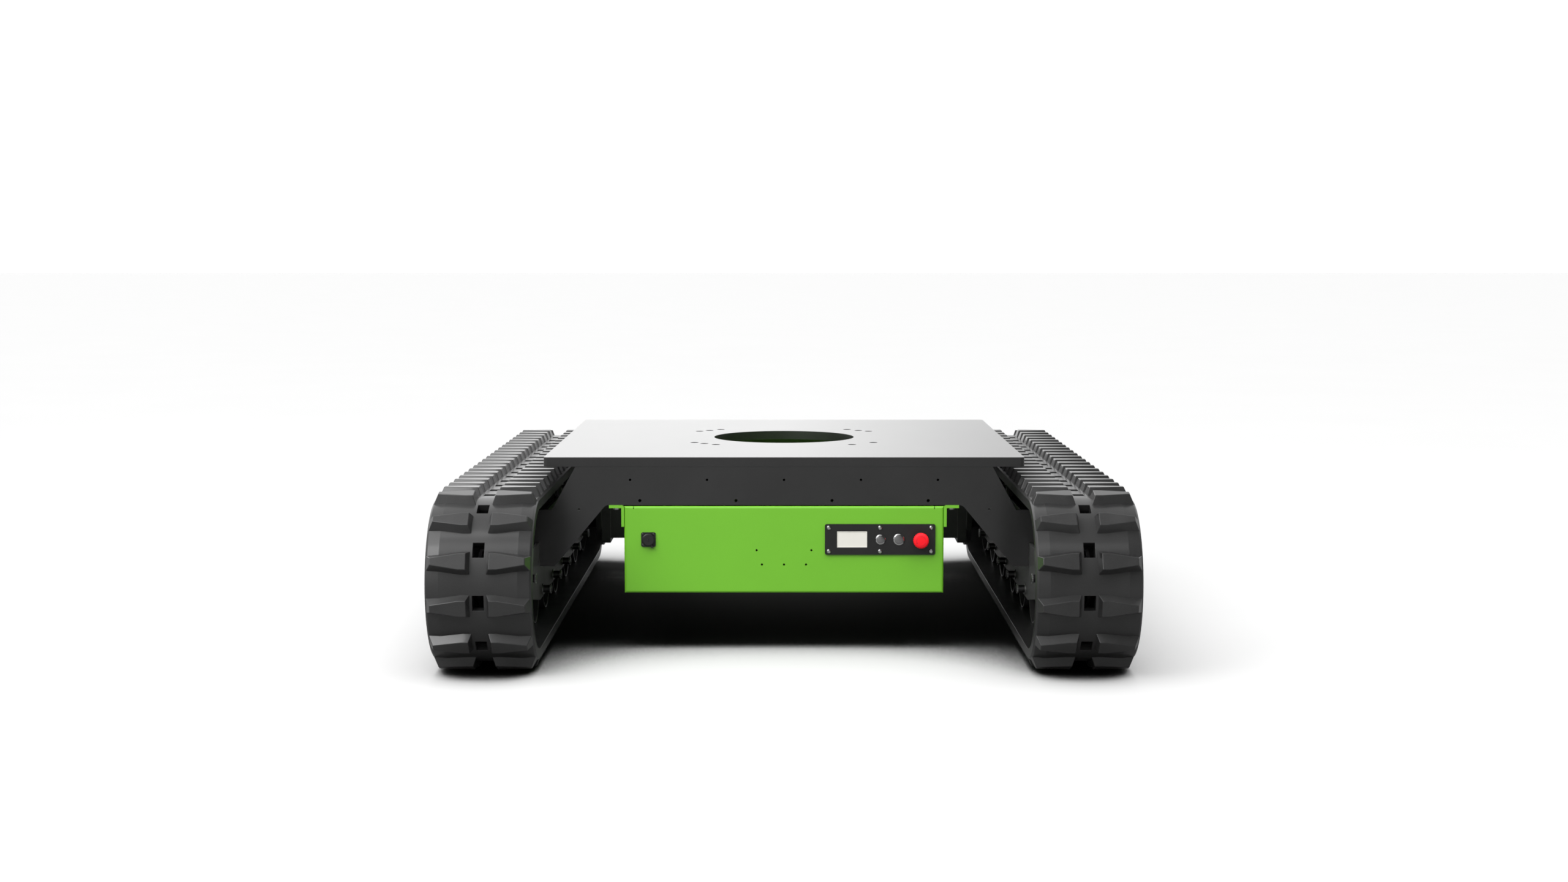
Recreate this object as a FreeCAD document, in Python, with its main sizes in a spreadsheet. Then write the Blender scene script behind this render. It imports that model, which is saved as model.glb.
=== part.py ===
import FreeCAD, Part
import math
import os
import Sketcher

# Tracked robot chassis, millimetres. +X is the right-hand side seen from the front,
# -Y is the front, +Z is up. The origin lies on the ground under the middle of the chassis.

DIMENSIONS = {
    # deck
    "deck_side": 1000, "deck_thick": 20, "deck_top": 402, "deck_corner": 8,
    "deck_hole": 160, "bolt_circle": 250, "bolt_hole": 9, "bolt_step": 8,
    # portal plates
    "portal_thick": 10, "portal_top_half": 434, "shoulder_half": 483, "tab_top": 292,
    "leg_low": 174, "rear_leg_low": 198, "leg_inner": 478, "beam_low": 302, "beam_half": 371.2,
    "beam_fillet": 14, "slot_inner": 510, "slot_outer": 518, "slot_top": 223.5, "slot_fillet": 1,
    "small_hole": 2.5, "clear_hole": 3.3,
    # under-deck tubes
    "rail_inner": 340, "rail_wide": 60, "tube_wall": 4, "cross_wide": 40, "cross_tall": 60,
    "cross_place": 230,
    # battery box
    "box_half": 332.6, "box_front": 503, "box_back": 437, "box_low": 118, "box_top": 300,
    "sheet": 5.5, "box_bend": 5, "slit_place": 313, "slit_half": 0.8, "slit_low": 294,
    "sensor_hole": 2.25, "hanger_half": 364, "hanger_low": 257, "hanger_sheet": 5.9,
    "hanger_bolt": 349, "bolt_clear": 4.2,
    "pack_half": 290, "pack_front": 290, "pack_tall": 160,
    # control panel
    "panel_place": 200, "panel_level": 231, "panel_wide": 229.6, "panel_tall": 64,
    "panel_thick": 4, "panel_corner": 4, "window_half": 96, "window_rise": 20,
    "screw_hole": 2.6, "screw_reach": 106.6, "screw_rise": 24.7, "display_place": 141.7,
    "display_wide": 62.6, "display_tall": 34, "display_gap": 0.2, "display_half": 34,
    "display_rise": 19, "display_deep": 14,
    "power_place": 200.9, "start_place": 239.3, "stop_place": 283.9,
    "notch_count": 24, "notch_reach": 16.8, "notch_size": 1,
    # charging socket
    "socket_place": 282.2, "socket_level": 230.6, "socket_side": 30, "socket_thick": 3,
    "socket_bore": 9, "socket_screw": 11, "socket_corner": 3.5, "pivot_reach": 16.8, "pivot_rise": 6.9,
    "pivot_turn": 61, "pivot_half": 2.6, "arm_wide": 1.4, "ear_inner": 1.5, "ear_near": 15.2,
    "ear_far": 18.4, "foot_far": 18.6, "arm_far": 18.1,
    # tracks
    "track_place": 588, "axle_level": 180, "axle_reach": 712, "belt_half": 103,
    "belt_inner": 139, "belt_outer": 164, "belt_shoulder": 161, "belt_flat": 76,
    "groove_half": 10, "groove_floor": 151, "window_wide": 22, "window_long": 30,
    "window_count": 42, "window_start": 27.9, "lug_count": 52, "lug_start": 18.9,
    "lug_tip": 180, "lug_root": 158,
    # track frame
    "plate_near": 70, "plate_thick": 6, "plate_low": 98, "plate_high": 270, "arm_half": 42,
    "drive_end": 80, "arm_step": 488, "ear_top": 304, "lower_turn": 470,
    "spacer_size": 16, "spacer_level": 235, "frame_bolt": 6,
    # rollers
    "drum_half": 61, "drum_size": 138.7, "roller_size": 73.7, "roller_level": 115,
    "rim_wall": 3.5, "idler_gap": 16, "idler_hub": 58, "axle_size": 10, "carrier_size": 36,
    "carrier_level": 282.7, "run_gap": 0.05,
    # drive
    "flange_size": 123, "flange_near": 103, "collar_size": 78, "case_half": 100, "case_corner": 10,
    "case_rise": 107, "case_near": 117, "case_step": 140, "case_far": 188, "step_half": 94,
    "step_rise": 94,
    "motor_size": 85, "motor_far": 350, "shaft_size": 20,
}

ROLLER_PLACES = (-426, -216, -5, 245, 492)
SPACER_PLACES = (-250, 130, 380)
HANGER_PLACES = (-480, -250, -20, 200, 415)
SENSOR_PLACES = ((-57, 207.8), (57, 207.8), (-46, 177.8), (0, 177.8), (46, 177.8))
SIDES = (("left", -1), ("right", 1))


class Size:
    """A number together with the sheet formula it comes from."""

    def __init__(self, value, text):
        self.value = float(value)
        self.text = text

    def __add__(self, other):
        other = as_size(other)
        return Size(self.value + other.value, "(%s + %s)" % (self.text, other.text))

    def __sub__(self, other):
        other = as_size(other)
        return Size(self.value - other.value, "(%s - %s)" % (self.text, other.text))

    def __mul__(self, other):
        other = as_size(other)
        return Size(self.value * other.value, "(%s * %s)" % (self.text, other.text))

    def __truediv__(self, other):
        other = as_size(other)
        return Size(self.value / other.value, "(%s / %s)" % (self.text, other.text))

    def __neg__(self):
        return Size(-self.value, "(0 - %s)" % self.text)

    def __radd__(self, other):
        return as_size(other) + self

    def __rsub__(self, other):
        return as_size(other) - self

    def __rmul__(self, other):
        return as_size(other) * self


def as_size(number):
    if isinstance(number, Size):
        return number
    return Size(number, "(%.6g)" % number if number < 0 else "%.6g" % number)


doc = FreeCAD.newDocument("TrackedChassis")
sheet = doc.addObject("Spreadsheet::Sheet", "Sizes")
D = {}
for row, (alias, number) in enumerate(DIMENSIONS.items(), start=1):
    sheet.set("A%d" % row, alias)
    sheet.set("B%d" % row, str(number))
    sheet.setAlias("B%d" % row, alias)
    D[alias] = Size(number, "Sizes." + alias)
doc.recompute()

NODES = []
POINT_START = 1
POINT_CENTRE = 3
ORIGIN = (-1, 1)


# ---- sketch and feature helpers -------------------------------------------------------------

def bind(thing, prop, size):
    """Set a property and bind it to the sheet."""
    size = as_size(size)
    if "Sizes." in size.text:
        thing.setExpression(prop, size.text)
    elif "." in prop:
        thing.setExpression(prop, size.text)
    else:
        setattr(thing, prop, size.value)


def new_body(label, moved=(0, 0, 0)):
    body = doc.addObject("PartDesign::Body", label)
    body.Label = label
    body.Placement.Base = FreeCAD.Vector(*[as_size(part).value for part in moved])
    for axis, part in zip("xyz", moved):
        if isinstance(part, Size):
            body.setExpression("Placement.Base." + axis, part.text)
    NODES.append(body)
    return body


def new_sketch(body, plane, height=0):
    """A sketch on one of the body's own origin planes, raised by height along its normal."""
    sketch = body.newObject("Sketcher::SketchObject", body.Name + "_sketch")
    for feature in body.Origin.OriginFeatures:
        if feature.Role == plane + "_Plane":
            sketch.AttachmentSupport = [(feature, "")]
    sketch.MapMode = "FlatFace"
    height = as_size(height)
    sketch.AttachmentOffset = FreeCAD.Placement(FreeCAD.Vector(0, 0, height.value), FreeCAD.Rotation())
    if "Sizes." in height.text:
        sketch.setExpression("AttachmentOffset.Base.z", height.text)
    return sketch


def hold(sketch, kind, *parts):
    """Add a dimension to the sketch and bind it to the sheet."""
    size = as_size(parts[-1])
    index = sketch.addConstraint(Sketcher.Constraint(kind, *parts[:-1], size.value))
    if "Sizes." in size.text:
        sketch.setExpression("Constraints[%d]" % index, size.text)


def draw_polygon(sketch, points):
    first = sketch.GeometryCount
    flat = [(as_size(across), as_size(along)) for across, along in points]
    places = [FreeCAD.Vector(across.value, along.value, 0) for across, along in flat]
    for number, place in enumerate(places):
        sketch.addGeometry(Part.LineSegment(place, places[(number + 1) % len(places)]), False)
    for number in range(len(places)):
        following = first + (number + 1) % len(places)
        sketch.addConstraint(Sketcher.Constraint("Coincident", first + number, 2, following, 1))
    for number, (across, along) in enumerate(flat):
        hold(sketch, "DistanceX", *ORIGIN, first + number, POINT_START, across)
        hold(sketch, "DistanceY", *ORIGIN, first + number, POINT_START, along)


def draw_circle(sketch, across, along, radius):
    across, along, radius = as_size(across), as_size(along), as_size(radius)
    centre = FreeCAD.Vector(across.value, along.value, 0)
    circle = Part.Circle(centre, FreeCAD.Vector(0, 0, 1), radius.value)
    index = sketch.addGeometry(circle, False)
    hold(sketch, "Radius", index, radius)
    hold(sketch, "DistanceX", *ORIGIN, index, POINT_CENTRE, across)
    hold(sketch, "DistanceY", *ORIGIN, index, POINT_CENTRE, along)


def rectangle(low_across, low_along, high_across, high_along):
    return [(low_across, low_along), (high_across, low_along),
            (high_across, high_along), (low_across, high_along)]


def draw(sketch, shapes):
    """Draw circles, given as three numbers, and polygons, given as lists of points."""
    for shape in shapes:
        if isinstance(shape, tuple):
            draw_circle(sketch, *shape)
        else:
            draw_polygon(sketch, shape)


def slab(body, plane, shapes, low, high, kind="Pad"):
    """A pad or pocket between two heights. XZ sketches look along -Y, so heights there are -Y."""
    sketch = new_sketch(body, plane, low if kind == "Pad" else high)
    draw(sketch, shapes)
    feature = body.newObject("PartDesign::" + kind, body.Name + "_" + kind.lower())
    feature.Profile = sketch
    bind(feature, "Length", as_size(high) - as_size(low))
    doc.recompute()
    return feature


def turned(body, plane, axis, outline, kind="Revolution"):
    """A revolved outline about the sketch's own H or V axis."""
    sketch = new_sketch(body, plane)
    draw_polygon(sketch, outline)
    feature = body.newObject("PartDesign::" + kind, body.Name + "_" + kind.lower())
    feature.Profile = sketch
    feature.ReferenceAxis = (sketch, [axis + "_Axis"])
    feature.Angle = 360
    doc.recompute()
    return feature


def rounded(body, feature, chosen, radius, kind="Fillet"):
    """Fillet or chamfer the edges that the test picks."""
    names = ["Edge%d" % (number + 1) for number, edge in enumerate(feature.Shape.Edges) if chosen(edge)]
    dressed = body.newObject("PartDesign::" + kind, body.Name + "_" + kind.lower())
    dressed.Base = (feature, names)
    bind(dressed, "Radius" if kind == "Fillet" else "Size", radius)
    body.Tip = dressed
    doc.recompute()
    return dressed


def upright(edge):
    """True for a straight edge along Z."""
    low, high = edge.BoundBox.ZMin, edge.BoundBox.ZMax
    return high - low > 1 and edge.BoundBox.XLength < 0.01 and edge.BoundBox.YLength < 0.01


def through_corner(edge):
    """True for a straight edge along Y."""
    box = edge.BoundBox
    return box.YLength > 1 and box.XLength < 0.01 and box.ZLength < 0.01


def sideways(edge):
    """True for a straight edge along X."""
    box = edge.BoundBox
    return box.XLength > 1 and box.YLength < 0.01 and box.ZLength < 0.01


def part_box(label, low, high):
    """A Part::Box between two corners, bound to the sheet."""
    box = doc.addObject("Part::Box", label)
    for prop, axis, start, end in zip(("Length", "Width", "Height"), "xyz", low, high):
        bind(box, prop, as_size(end) - as_size(start))
        box.setExpression("Placement.Base." + axis, as_size(start).text)
    return box


def joined(label, kind, base, tools):
    """A Part boolean of a base with tools; the result is a node when it has the node's label."""
    if kind == "Cut":
        result = doc.addObject("Part::Cut", label)
        result.Base = base
        result.Tool = tools
    else:
        result = doc.addObject("Part::MultiFuse", label)
        result.Shapes = [base] + list(tools)
    result.Label = label
    return result


def tube(label, low, high, along):
    """A rectangular tube with open ends, along X or Y."""
    wall = D["tube_wall"]
    outside = part_box(label + "_outside", low, high)
    inner_low = [as_size(part) + wall for part in low]
    inner_high = [as_size(part) - wall for part in high]
    inner_low[along] = as_size(low[along]) - wall
    inner_high[along] = as_size(high[along]) + wall
    inside = part_box(label + "_inside", inner_low, inner_high)
    result = joined(label, "Cut", outside, inside)
    return result


# ---- plain shapes for groups of separate fasteners -------------------------------------------

def spun(outline, origin, direction):
    """A solid of revolution: outline points are (distance along direction, radius)."""
    points = [FreeCAD.Vector(along, radius, 0) for along, radius in outline]
    wire = Part.makePolygon(points + points[:1])
    solid = Part.Face(wire).revolve(FreeCAD.Vector(0, 0, 0), FreeCAD.Vector(1, 0, 0), 360)
    turn = FreeCAD.Rotation(FreeCAD.Vector(1, 0, 0), FreeCAD.Vector(*direction))
    solid.Placement = FreeCAD.Placement(FreeCAD.Vector(*origin), turn)
    return solid


def prism(corners, radius, length, origin, direction):
    """A regular prism that grows from origin along direction."""
    points = []
    for number in range(corners):
        angle = 2 * math.pi * number / corners
        points.append(FreeCAD.Vector(0, radius * math.cos(angle), radius * math.sin(angle)))
    solid = Part.Face(Part.makePolygon(points + points[:1])).extrude(FreeCAD.Vector(length, 0, 0))
    turn = FreeCAD.Rotation(FreeCAD.Vector(1, 0, 0), FreeCAD.Vector(*direction))
    solid.Placement = FreeCAD.Placement(FreeCAD.Vector(*origin), turn)
    return solid


def hex_bolt(origin, direction, shank, length, across, head):
    """A hexagon bolt: origin is under the head, direction points along the shank."""
    back = FreeCAD.Vector(*direction) * -head
    start = FreeCAD.Vector(*origin) + back
    hexagon = prism(6, across / math.sqrt(3), head, start, direction)
    rod = spun([(-0.5, 0), (-0.5, shank), (length, shank), (length, 0)], origin, direction)
    return hexagon.fuse(rod).removeSplitter()


def group(label, solids):
    """A node of separate solids that a single body can't hold."""
    feature = doc.addObject("Part::Feature", label)
    feature.Label = label
    feature.Shape = Part.makeCompound(solids)
    NODES.append(feature)


# ---- deck and portals ------------------------------------------------------------------------

def make_deck():
    body = new_body("deck_plate")
    half = D["deck_side"] / 2
    low = D["deck_top"] - D["deck_thick"]
    plate = slab(body, "XY", [rectangle(-half, -half, half, half)], low, D["deck_top"])
    rounded(body, plate, upright, D["deck_corner"])
    holes = [(0, 0, D["deck_hole"])]
    for quarter in range(4):
        for step in (-1, 0, 1):
            if quarter == 3 and step == 0:
                continue
            angle = math.radians(45 + 90 * quarter + DIMENSIONS["bolt_step"] * step)
            holes.append((D["bolt_circle"] * round(math.cos(angle), 6),
                          D["bolt_circle"] * round(math.sin(angle), 6), D["bolt_hole"]))
    slab(body, "XY", holes, low, D["deck_top"], "Pocket")


def portal_outline(leg_low):
    """Half outline from the top centre outwards, then its mirror image back."""
    deck_low = D["deck_top"] - D["deck_thick"]
    outer = D["track_place"] + D["plate_near"]
    right = [(D["portal_top_half"], deck_low), (D["shoulder_half"], D["tab_top"]),
             (outer, D["tab_top"]), (outer, leg_low), (D["slot_outer"], leg_low),
             (D["slot_outer"], D["slot_top"]), (D["slot_inner"], D["slot_top"]),
             (D["slot_inner"], leg_low), (D["leg_inner"], leg_low), (D["beam_half"], D["beam_low"])]
    left = [(-across, along) for across, along in reversed(right)]
    return right + left


def make_portal(label, front, leg_low):
    """front is -1 for the plate at the front and +1 for the one at the rear."""
    edge = D["deck_side"] / 2
    # the XZ sketch plane looks along -Y, so a larger height lies further forward
    low = edge - D["portal_thick"] if front < 0 else -edge
    high = edge if front < 0 else D["portal_thick"] - edge
    body = new_body(label)
    plate = slab(body, "XZ", [portal_outline(leg_low)], low, high)

    def beam_corner(edge_line):
        box = edge_line.BoundBox
        return box.YLength > 1 and abs(box.ZMin - DIMENSIONS["beam_low"]) < 0.1 and box.XLength < 0.1

    plate = rounded(body, plate, beam_corner, D["beam_fillet"])

    def slot_corner(edge_line):
        box = edge_line.BoundBox
        return box.YLength > 1 and abs(box.ZMin - DIMENSIONS["slot_top"]) < 0.1 and box.ZLength < 0.1

    rounded(body, plate, slot_corner, D["slot_fillet"])
    if front > 0:
        return
    holes = []
    for across in (-320, -160, 0, 160, 320):
        holes.append((across, 355, D["small_hole"]))
    for across in (-300, -100, 100, 300):
        holes.append((across, 311.5, D["clear_hole"]))
    for across in (-427, 427):
        holes.append((across, 293, D["small_hole"]))
    slab(body, "XZ", holes, low, high, "Pocket")


def make_tubes():
    inner, wide = D["rail_inner"], D["rail_wide"]
    low, high = D["beam_low"], D["deck_top"] - D["deck_thick"]
    end = D["deck_side"] / 2 - D["portal_thick"]
    for side, sign in SIDES:
        near = inner if sign > 0 else -inner - wide
        bar = tube("rail_%s_tube" % side, (near, -end, low), (near + wide, end, high), 1)
        holes = []
        for number, along in enumerate(HANGER_PLACES):
            bore = doc.addObject("Part::Cylinder", "rail_%s_hole_%d" % (side, number))
            bind(bore, "Radius", D["bolt_clear"])
            bore.Height = DIMENSIONS["tube_wall"] * 3
            bore.Placement.Base = FreeCAD.Vector(sign * DIMENSIONS["hanger_bolt"], along,
                                                 DIMENSIONS["beam_low"] - DIMENSIONS["tube_wall"])
            holes.append(bore)
        bores = joined("rail_%s_holes" % side, "Fuse", holes[0], holes[1:])
        NODES.append(joined("rail_%s" % side, "Cut", bar, bores))
    for name, place in (("front", -D["cross_place"]), ("rear", D["cross_place"])):
        half = D["cross_wide"] / 2
        NODES.append(tube("cross_tube_" + name, (-inner, place - half, high - D["cross_tall"]),
                          (inner, place + half, high), 0))


# ---- battery box -----------------------------------------------------------------------------

def make_box():
    half, front, back = D["box_half"], D["box_front"], D["box_back"]
    low, high, sheet_thick = D["box_low"], D["box_top"], D["sheet"]
    body = new_body("battery_box")
    block = slab(body, "XY", [rectangle(-half, -front, half, back)], low, high)

    def outer_bend(edge):
        box = edge.BoundBox
        front_line = abs(box.YMin + DIMENSIONS["box_front"]) < 0.01 and box.YLength < 0.01
        return upright(edge) or (front_line and box.XLength > 1)

    block = rounded(body, block, outer_bend, D["box_bend"])
    slab(body, "XY", [rectangle(sheet_thick - half, sheet_thick - front,
                                half - sheet_thick, back - sheet_thick)],
         low + sheet_thick, high, "Pocket")
    # relief slits beside the folded top edge of the front wall
    slits = []
    for place in (-D["slit_place"], D["slit_place"]):
        slits.append(rectangle(place - D["slit_half"], D["slit_low"], place + D["slit_half"], high))
    slab(body, "XZ", slits, front - sheet_thick, front, "Pocket")
    window = rectangle(D["panel_place"] - D["window_half"], D["panel_level"] - D["window_rise"],
                       D["panel_place"] + D["window_half"], D["panel_level"] + D["window_rise"])
    holes = [window, (-D["socket_place"], D["socket_level"], D["socket_bore"] + 1)]
    holes += panel_screw_places()
    holes += socket_screw_places()
    holes += [(across, level, D["sensor_hole"]) for across, level in SENSOR_PLACES]
    slab(body, "XZ", holes, front - sheet_thick, front, "Pocket")


def panel_screw_places():
    places = []
    for across in (-1, 0, 1):
        for rise in (-1, 1):
            places.append((D["panel_place"] + across * D["screw_reach"],
                           D["panel_level"] + rise * D["screw_rise"], D["screw_hole"]))
    return places


def socket_screw_places():
    """Three corners: the fourth carries the cap's pivot."""
    places = []
    for across, rise in ((-1, -1), (-1, 1), (1, 1)):
        places.append((across * D["socket_screw"] - D["socket_place"],
                       D["socket_level"] + rise * D["socket_screw"], 1.6))
    return places


def make_box_fittings():
    half, front, back = D["box_half"], D["box_front"], D["box_back"]
    sheet_thick, high = D["sheet"], D["box_top"]
    lid = part_box("battery_box_lid", (sheet_thick - half, sheet_thick - front, high - sheet_thick),
                   (half - sheet_thick, back - sheet_thick, high))
    lid.Label = "battery_box_lid"
    NODES.append(lid)
    floor = D["box_low"] + sheet_thick
    pack = part_box("battery_pack", (-D["pack_half"], -D["pack_front"], floor),
                    (D["pack_half"], back - 40, floor + D["pack_tall"]))
    NODES.append(pack)
    driver = part_box("motor_controller", (-150, -420, floor), (60, -320, floor + 60))
    NODES.append(driver)
    for side, sign in SIDES:
        body = new_body("hanger_" + side)
        inner, outer = sign * half, sign * D["hanger_half"]
        top, leg = D["beam_low"], D["hanger_sheet"]
        outline = [(inner, D["hanger_low"]), (inner, top), (outer, top), (outer, top - leg),
                   (inner + sign * leg, top - leg), (inner + sign * leg, D["hanger_low"])]
        angle = slab(body, "XZ", [outline], -back, front)

        def bend(edge):
            box = edge.BoundBox
            at_bend = abs(abs(box.XMin) - DIMENSIONS["box_half"]) < 0.01
            return box.YLength > 100 and box.XLength < 0.01 and at_bend and box.ZMin > 301

        rounded(body, angle, bend, D["box_bend"])
        holes = [(sign * D["hanger_bolt"], along, D["bolt_clear"]) for along in HANGER_PLACES]
        slab(body, "XY", holes, top - leg, top, "Pocket")
    bolts = []
    under = DIMENSIONS["beam_low"] - DIMENSIONS["hanger_sheet"]
    for _, sign in SIDES:
        for along in HANGER_PLACES:
            place = (sign * DIMENSIONS["hanger_bolt"], along, under)
            bolts.append(hex_bolt(place, (0, 0, 1), 4.0, 16, 13, 5.3))
    group("hanger_bolts", bolts)


# ---- control panel ---------------------------------------------------------------------------

def make_panel():
    front = D["box_front"]
    outer = front + D["panel_thick"]
    half, rise = D["panel_wide"] / 2, D["panel_tall"] / 2
    centre, level = D["panel_place"], D["panel_level"]
    body = new_body("control_panel")
    plate = slab(body, "XZ", [rectangle(centre - half, level - rise, centre + half, level + rise)],
                 front, outer)

    rounded(body, plate, through_corner, D["panel_corner"])
    across, tall = D["display_wide"] / 2, D["display_tall"] / 2
    holes = [rectangle(D["display_place"] - across, level - tall, D["display_place"] + across, level + tall)]
    holes += panel_screw_places()
    holes += [(D["power_place"], level, 9.6), (D["start_place"], level, 11.1),
              (D["stop_place"], level, 11.1)]
    slab(body, "XZ", holes, front, outer, "Pocket")

    display = new_body("display_module")
    across, tall = across - D["display_gap"], tall - D["display_gap"]
    slab(display, "XZ", [rectangle(D["display_place"] - across, level - tall,
                                   D["display_place"] + across, level + tall)], front - 2, outer)
    across, tall = D["display_half"], D["display_rise"]
    slab(display, "XZ", [rectangle(D["display_place"] - across, level - tall,
                                   D["display_place"] + across, level + tall)],
         front - D["display_deep"], front)

    panel_face = -DIMENSIONS["box_front"] - DIMENSIONS["panel_thick"]
    screws = []
    head = [(-2.75, 0), (-2.75, 1.5), (-2.2, 3.2), (-1.2, 4.4), (-0.3, 4.75), (0, 4.75),
            (0, 2.5), (14, 2.5), (14, 0)]
    for across, level_place, _ in panel_screw_places():
        screws.append(spun(head, (across.value, panel_face, level_place.value), (0, 1, 0)))
    group("panel_screws", screws)


def make_button(name, place, bezel, barrel, cap):
    """A metal push button: fixed body with a bezel and a cap that slides in its bore."""
    face = -(D["box_front"] + D["panel_thick"])
    level = D["panel_level"]
    body = new_body(name + "_button_body", (place, face, level))
    gap = D["run_gap"]
    outline = [(cap + gap, -2.5), (bezel - 0.8, -2.5), (bezel, -1.7), (bezel, 0), (barrel, 0),
               (barrel, 30), (0, 30), (0, 6), (cap + gap, 6)]
    turned(body, "XY", "V", outline)
    key = new_body(name + "_button_cap", (place, face, level))
    turned(key, "XY", "V", [(0, -3.4), (cap - 0.6, -3.4), (cap, -2.8), (cap, 3.5), (0, 3.5)])


def make_stop():
    face = -(D["box_front"] + D["panel_thick"])
    level = D["panel_level"]
    place = D["stop_place"]
    gap = D["run_gap"]
    body = new_body("estop_body", (place, face, level))
    turned(body, "XY", "V", [(7.9 + gap, -6), (13.2, -6), (14.5, -4.7), (14.5, 0), (11, 0), (11, 42),
                             (0, 42), (0, 12), (7.9 + gap, 12)])
    stem = new_body("estop_stem", (place, face, level))
    turned(stem, "XY", "V", [(0, -24), (5, -24), (5, -14), (7.9, -14), (7.9, 6), (0, 6)])
    head = new_body("estop_head", (place, face, level))
    turned(head, "XY", "V", [(5 + gap, -14), (11.5, -14), (13, -16), (15.4, -16), (16.2, -17),
                             (16.2, -25.5), (14.8, -28.2), (11.1, -29.6), (6, -30.3), (0, -30.5),
                             (0, -24.5), (5 + gap, -24.5)])
    # finger notches round the rim
    notches = []
    reach, size = DIMENSIONS["notch_reach"], DIMENSIONS["notch_size"]
    for number in range(DIMENSIONS["notch_count"]):
        angle = 2 * math.pi * number / DIMENSIONS["notch_count"]
        notches.append((reach * math.cos(angle), reach * math.sin(angle), size))
    slab(head, "XZ", notches, 16, 27.5, "Pocket")


def slanted(across, rise):
    """A point of the charging cap's frame, whose first axis runs from the centre to the pivot."""
    turn = math.radians(DIMENSIONS["pivot_turn"])
    return (across * math.cos(turn) + rise * math.sin(turn) - D["socket_place"],
            rise * math.cos(turn) - across * math.sin(turn) + D["socket_level"])


def slanted_rectangle(low_across, low_rise, high_across, high_rise):
    corners = rectangle(low_across, low_rise, high_across, high_rise)
    return [slanted(across, rise) for across, rise in corners]


def slanted_rod(label, radius, reach):
    """A rod along the cap's pivot line."""
    rod = doc.addObject("Part::Cylinder", label)
    rod.Radius = radius
    rod.Height = 2 * reach
    across, rise = slanted(DIMENSIONS["pivot_reach"], -reach)
    depth = -DIMENSIONS["box_front"] - DIMENSIONS["pivot_rise"]
    rod.Placement = FreeCAD.Placement(FreeCAD.Vector(across.value, depth, rise.value),
                                      FreeCAD.Rotation(FreeCAD.Vector(0, 1, 0),
                                                       DIMENSIONS["pivot_turn"]))
    return rod


def make_socket():
    front = D["box_front"]
    face = front + D["socket_thick"]
    body = new_body("charge_socket_body")
    half = D["socket_side"] / 2
    place, level = -D["socket_place"], D["socket_level"]
    flange = slab(body, "XZ", [rectangle(place - half, level - half, place + half, level + half)],
                  front, face)

    rounded(body, flange, through_corner, D["socket_corner"])
    near, far, gap, wide = (DIMENSIONS[name] for name in ("ear_near", "ear_far", "ear_inner", "pivot_half"))
    slab(body, "XZ", [slanted_rectangle(9, -wide, DIMENSIONS["foot_far"], wide)], front, face)
    ears = [slanted_rectangle(near, gap, far, wide), slanted_rectangle(near, -wide, far, -gap)]
    slab(body, "XZ", ears, face - 0.5, front + 8.8)
    slab(body, "XZ", [(place, level, D["socket_bore"])], front - 24, front)
    slab(body, "XZ", [(place, level, 11.5)], face, front + 5)
    slab(body, "XZ", [(place, level, 6.5)], front - 14, front + 5, "Pocket")
    slab(body, "XZ", socket_screw_places(), front, face, "Pocket")
    NODES.remove(body)
    pin = slanted_rod("charge_socket_pin", 0.8, wide)
    NODES.append(joined("charge_socket", "Fuse", body, [pin]))

    x_place, z_place = -DIMENSIONS["socket_place"], DIMENSIONS["socket_level"]
    screws = []
    head = [(-0.9, 0), (-0.9, 1.6), (0, 2.6), (0, 1.5), (9, 1.5), (9, 0)]
    reach = DIMENSIONS["socket_screw"]
    for across in (-1, 1):
        for rise in (-1, 1):
            if (across, rise) == (1, -1):
                continue
            centre = (x_place + across * reach, -face.value, z_place + rise * reach)
            screws.append(spun(head, centre, (0, 1, 0)))
    group("charge_socket_screws", screws)

    # round dust cap on an arm that reaches past the lower corner to its own pivot
    cap = new_body("charge_cap_body", (place, -front, level))
    cap.Placement.Rotation = FreeCAD.Rotation(FreeCAD.Vector(0, 1, 0), DIMENSIONS["pivot_turn"])
    turned(cap, "XY", "V", [(0, -11), (1.6, -11), (1.8, -9.6), (11, -9.6), (13, -8.4), (13, -5.4),
                            (0, -5.4)])
    arm = DIMENSIONS["arm_wide"]
    slab(cap, "XZ", [rectangle(9, -arm, DIMENSIONS["arm_far"], arm)], 5.4, 8.4)
    NODES.remove(cap)
    bore = slanted_rod("charge_cap_bore", 0.85, wide)
    NODES.append(joined("charge_cap", "Cut", cap, bore))


# ---- tracks ----------------------------------------------------------------------------------

def belt_frame(distance):
    """Placement on the belt loop: local +Z points out of the loop, local Y runs along it."""
    radius, reach = DIMENSIONS["belt_inner"], DIMENSIONS["axle_reach"]
    quarter = math.pi * radius / 2
    run = 2 * reach
    distance = distance % (4 * quarter + 2 * run)
    if distance > 3 * quarter + 2 * run:
        distance -= 4 * quarter + 2 * run
    if distance < quarter:
        along, angle = -reach, 90 - math.degrees(distance / radius)
    elif distance < quarter + run:
        along, angle = distance - quarter - reach, 0
    elif distance < 3 * quarter + run:
        along, angle = reach, -math.degrees((distance - quarter - run) / radius)
    else:
        along, angle = reach - (distance - 3 * quarter - run), 180
    base = FreeCAD.Vector(0, along, DIMENSIONS["axle_level"])
    return FreeCAD.Placement(base, FreeCAD.Rotation(FreeCAD.Vector(1, 0, 0), angle))


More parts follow.
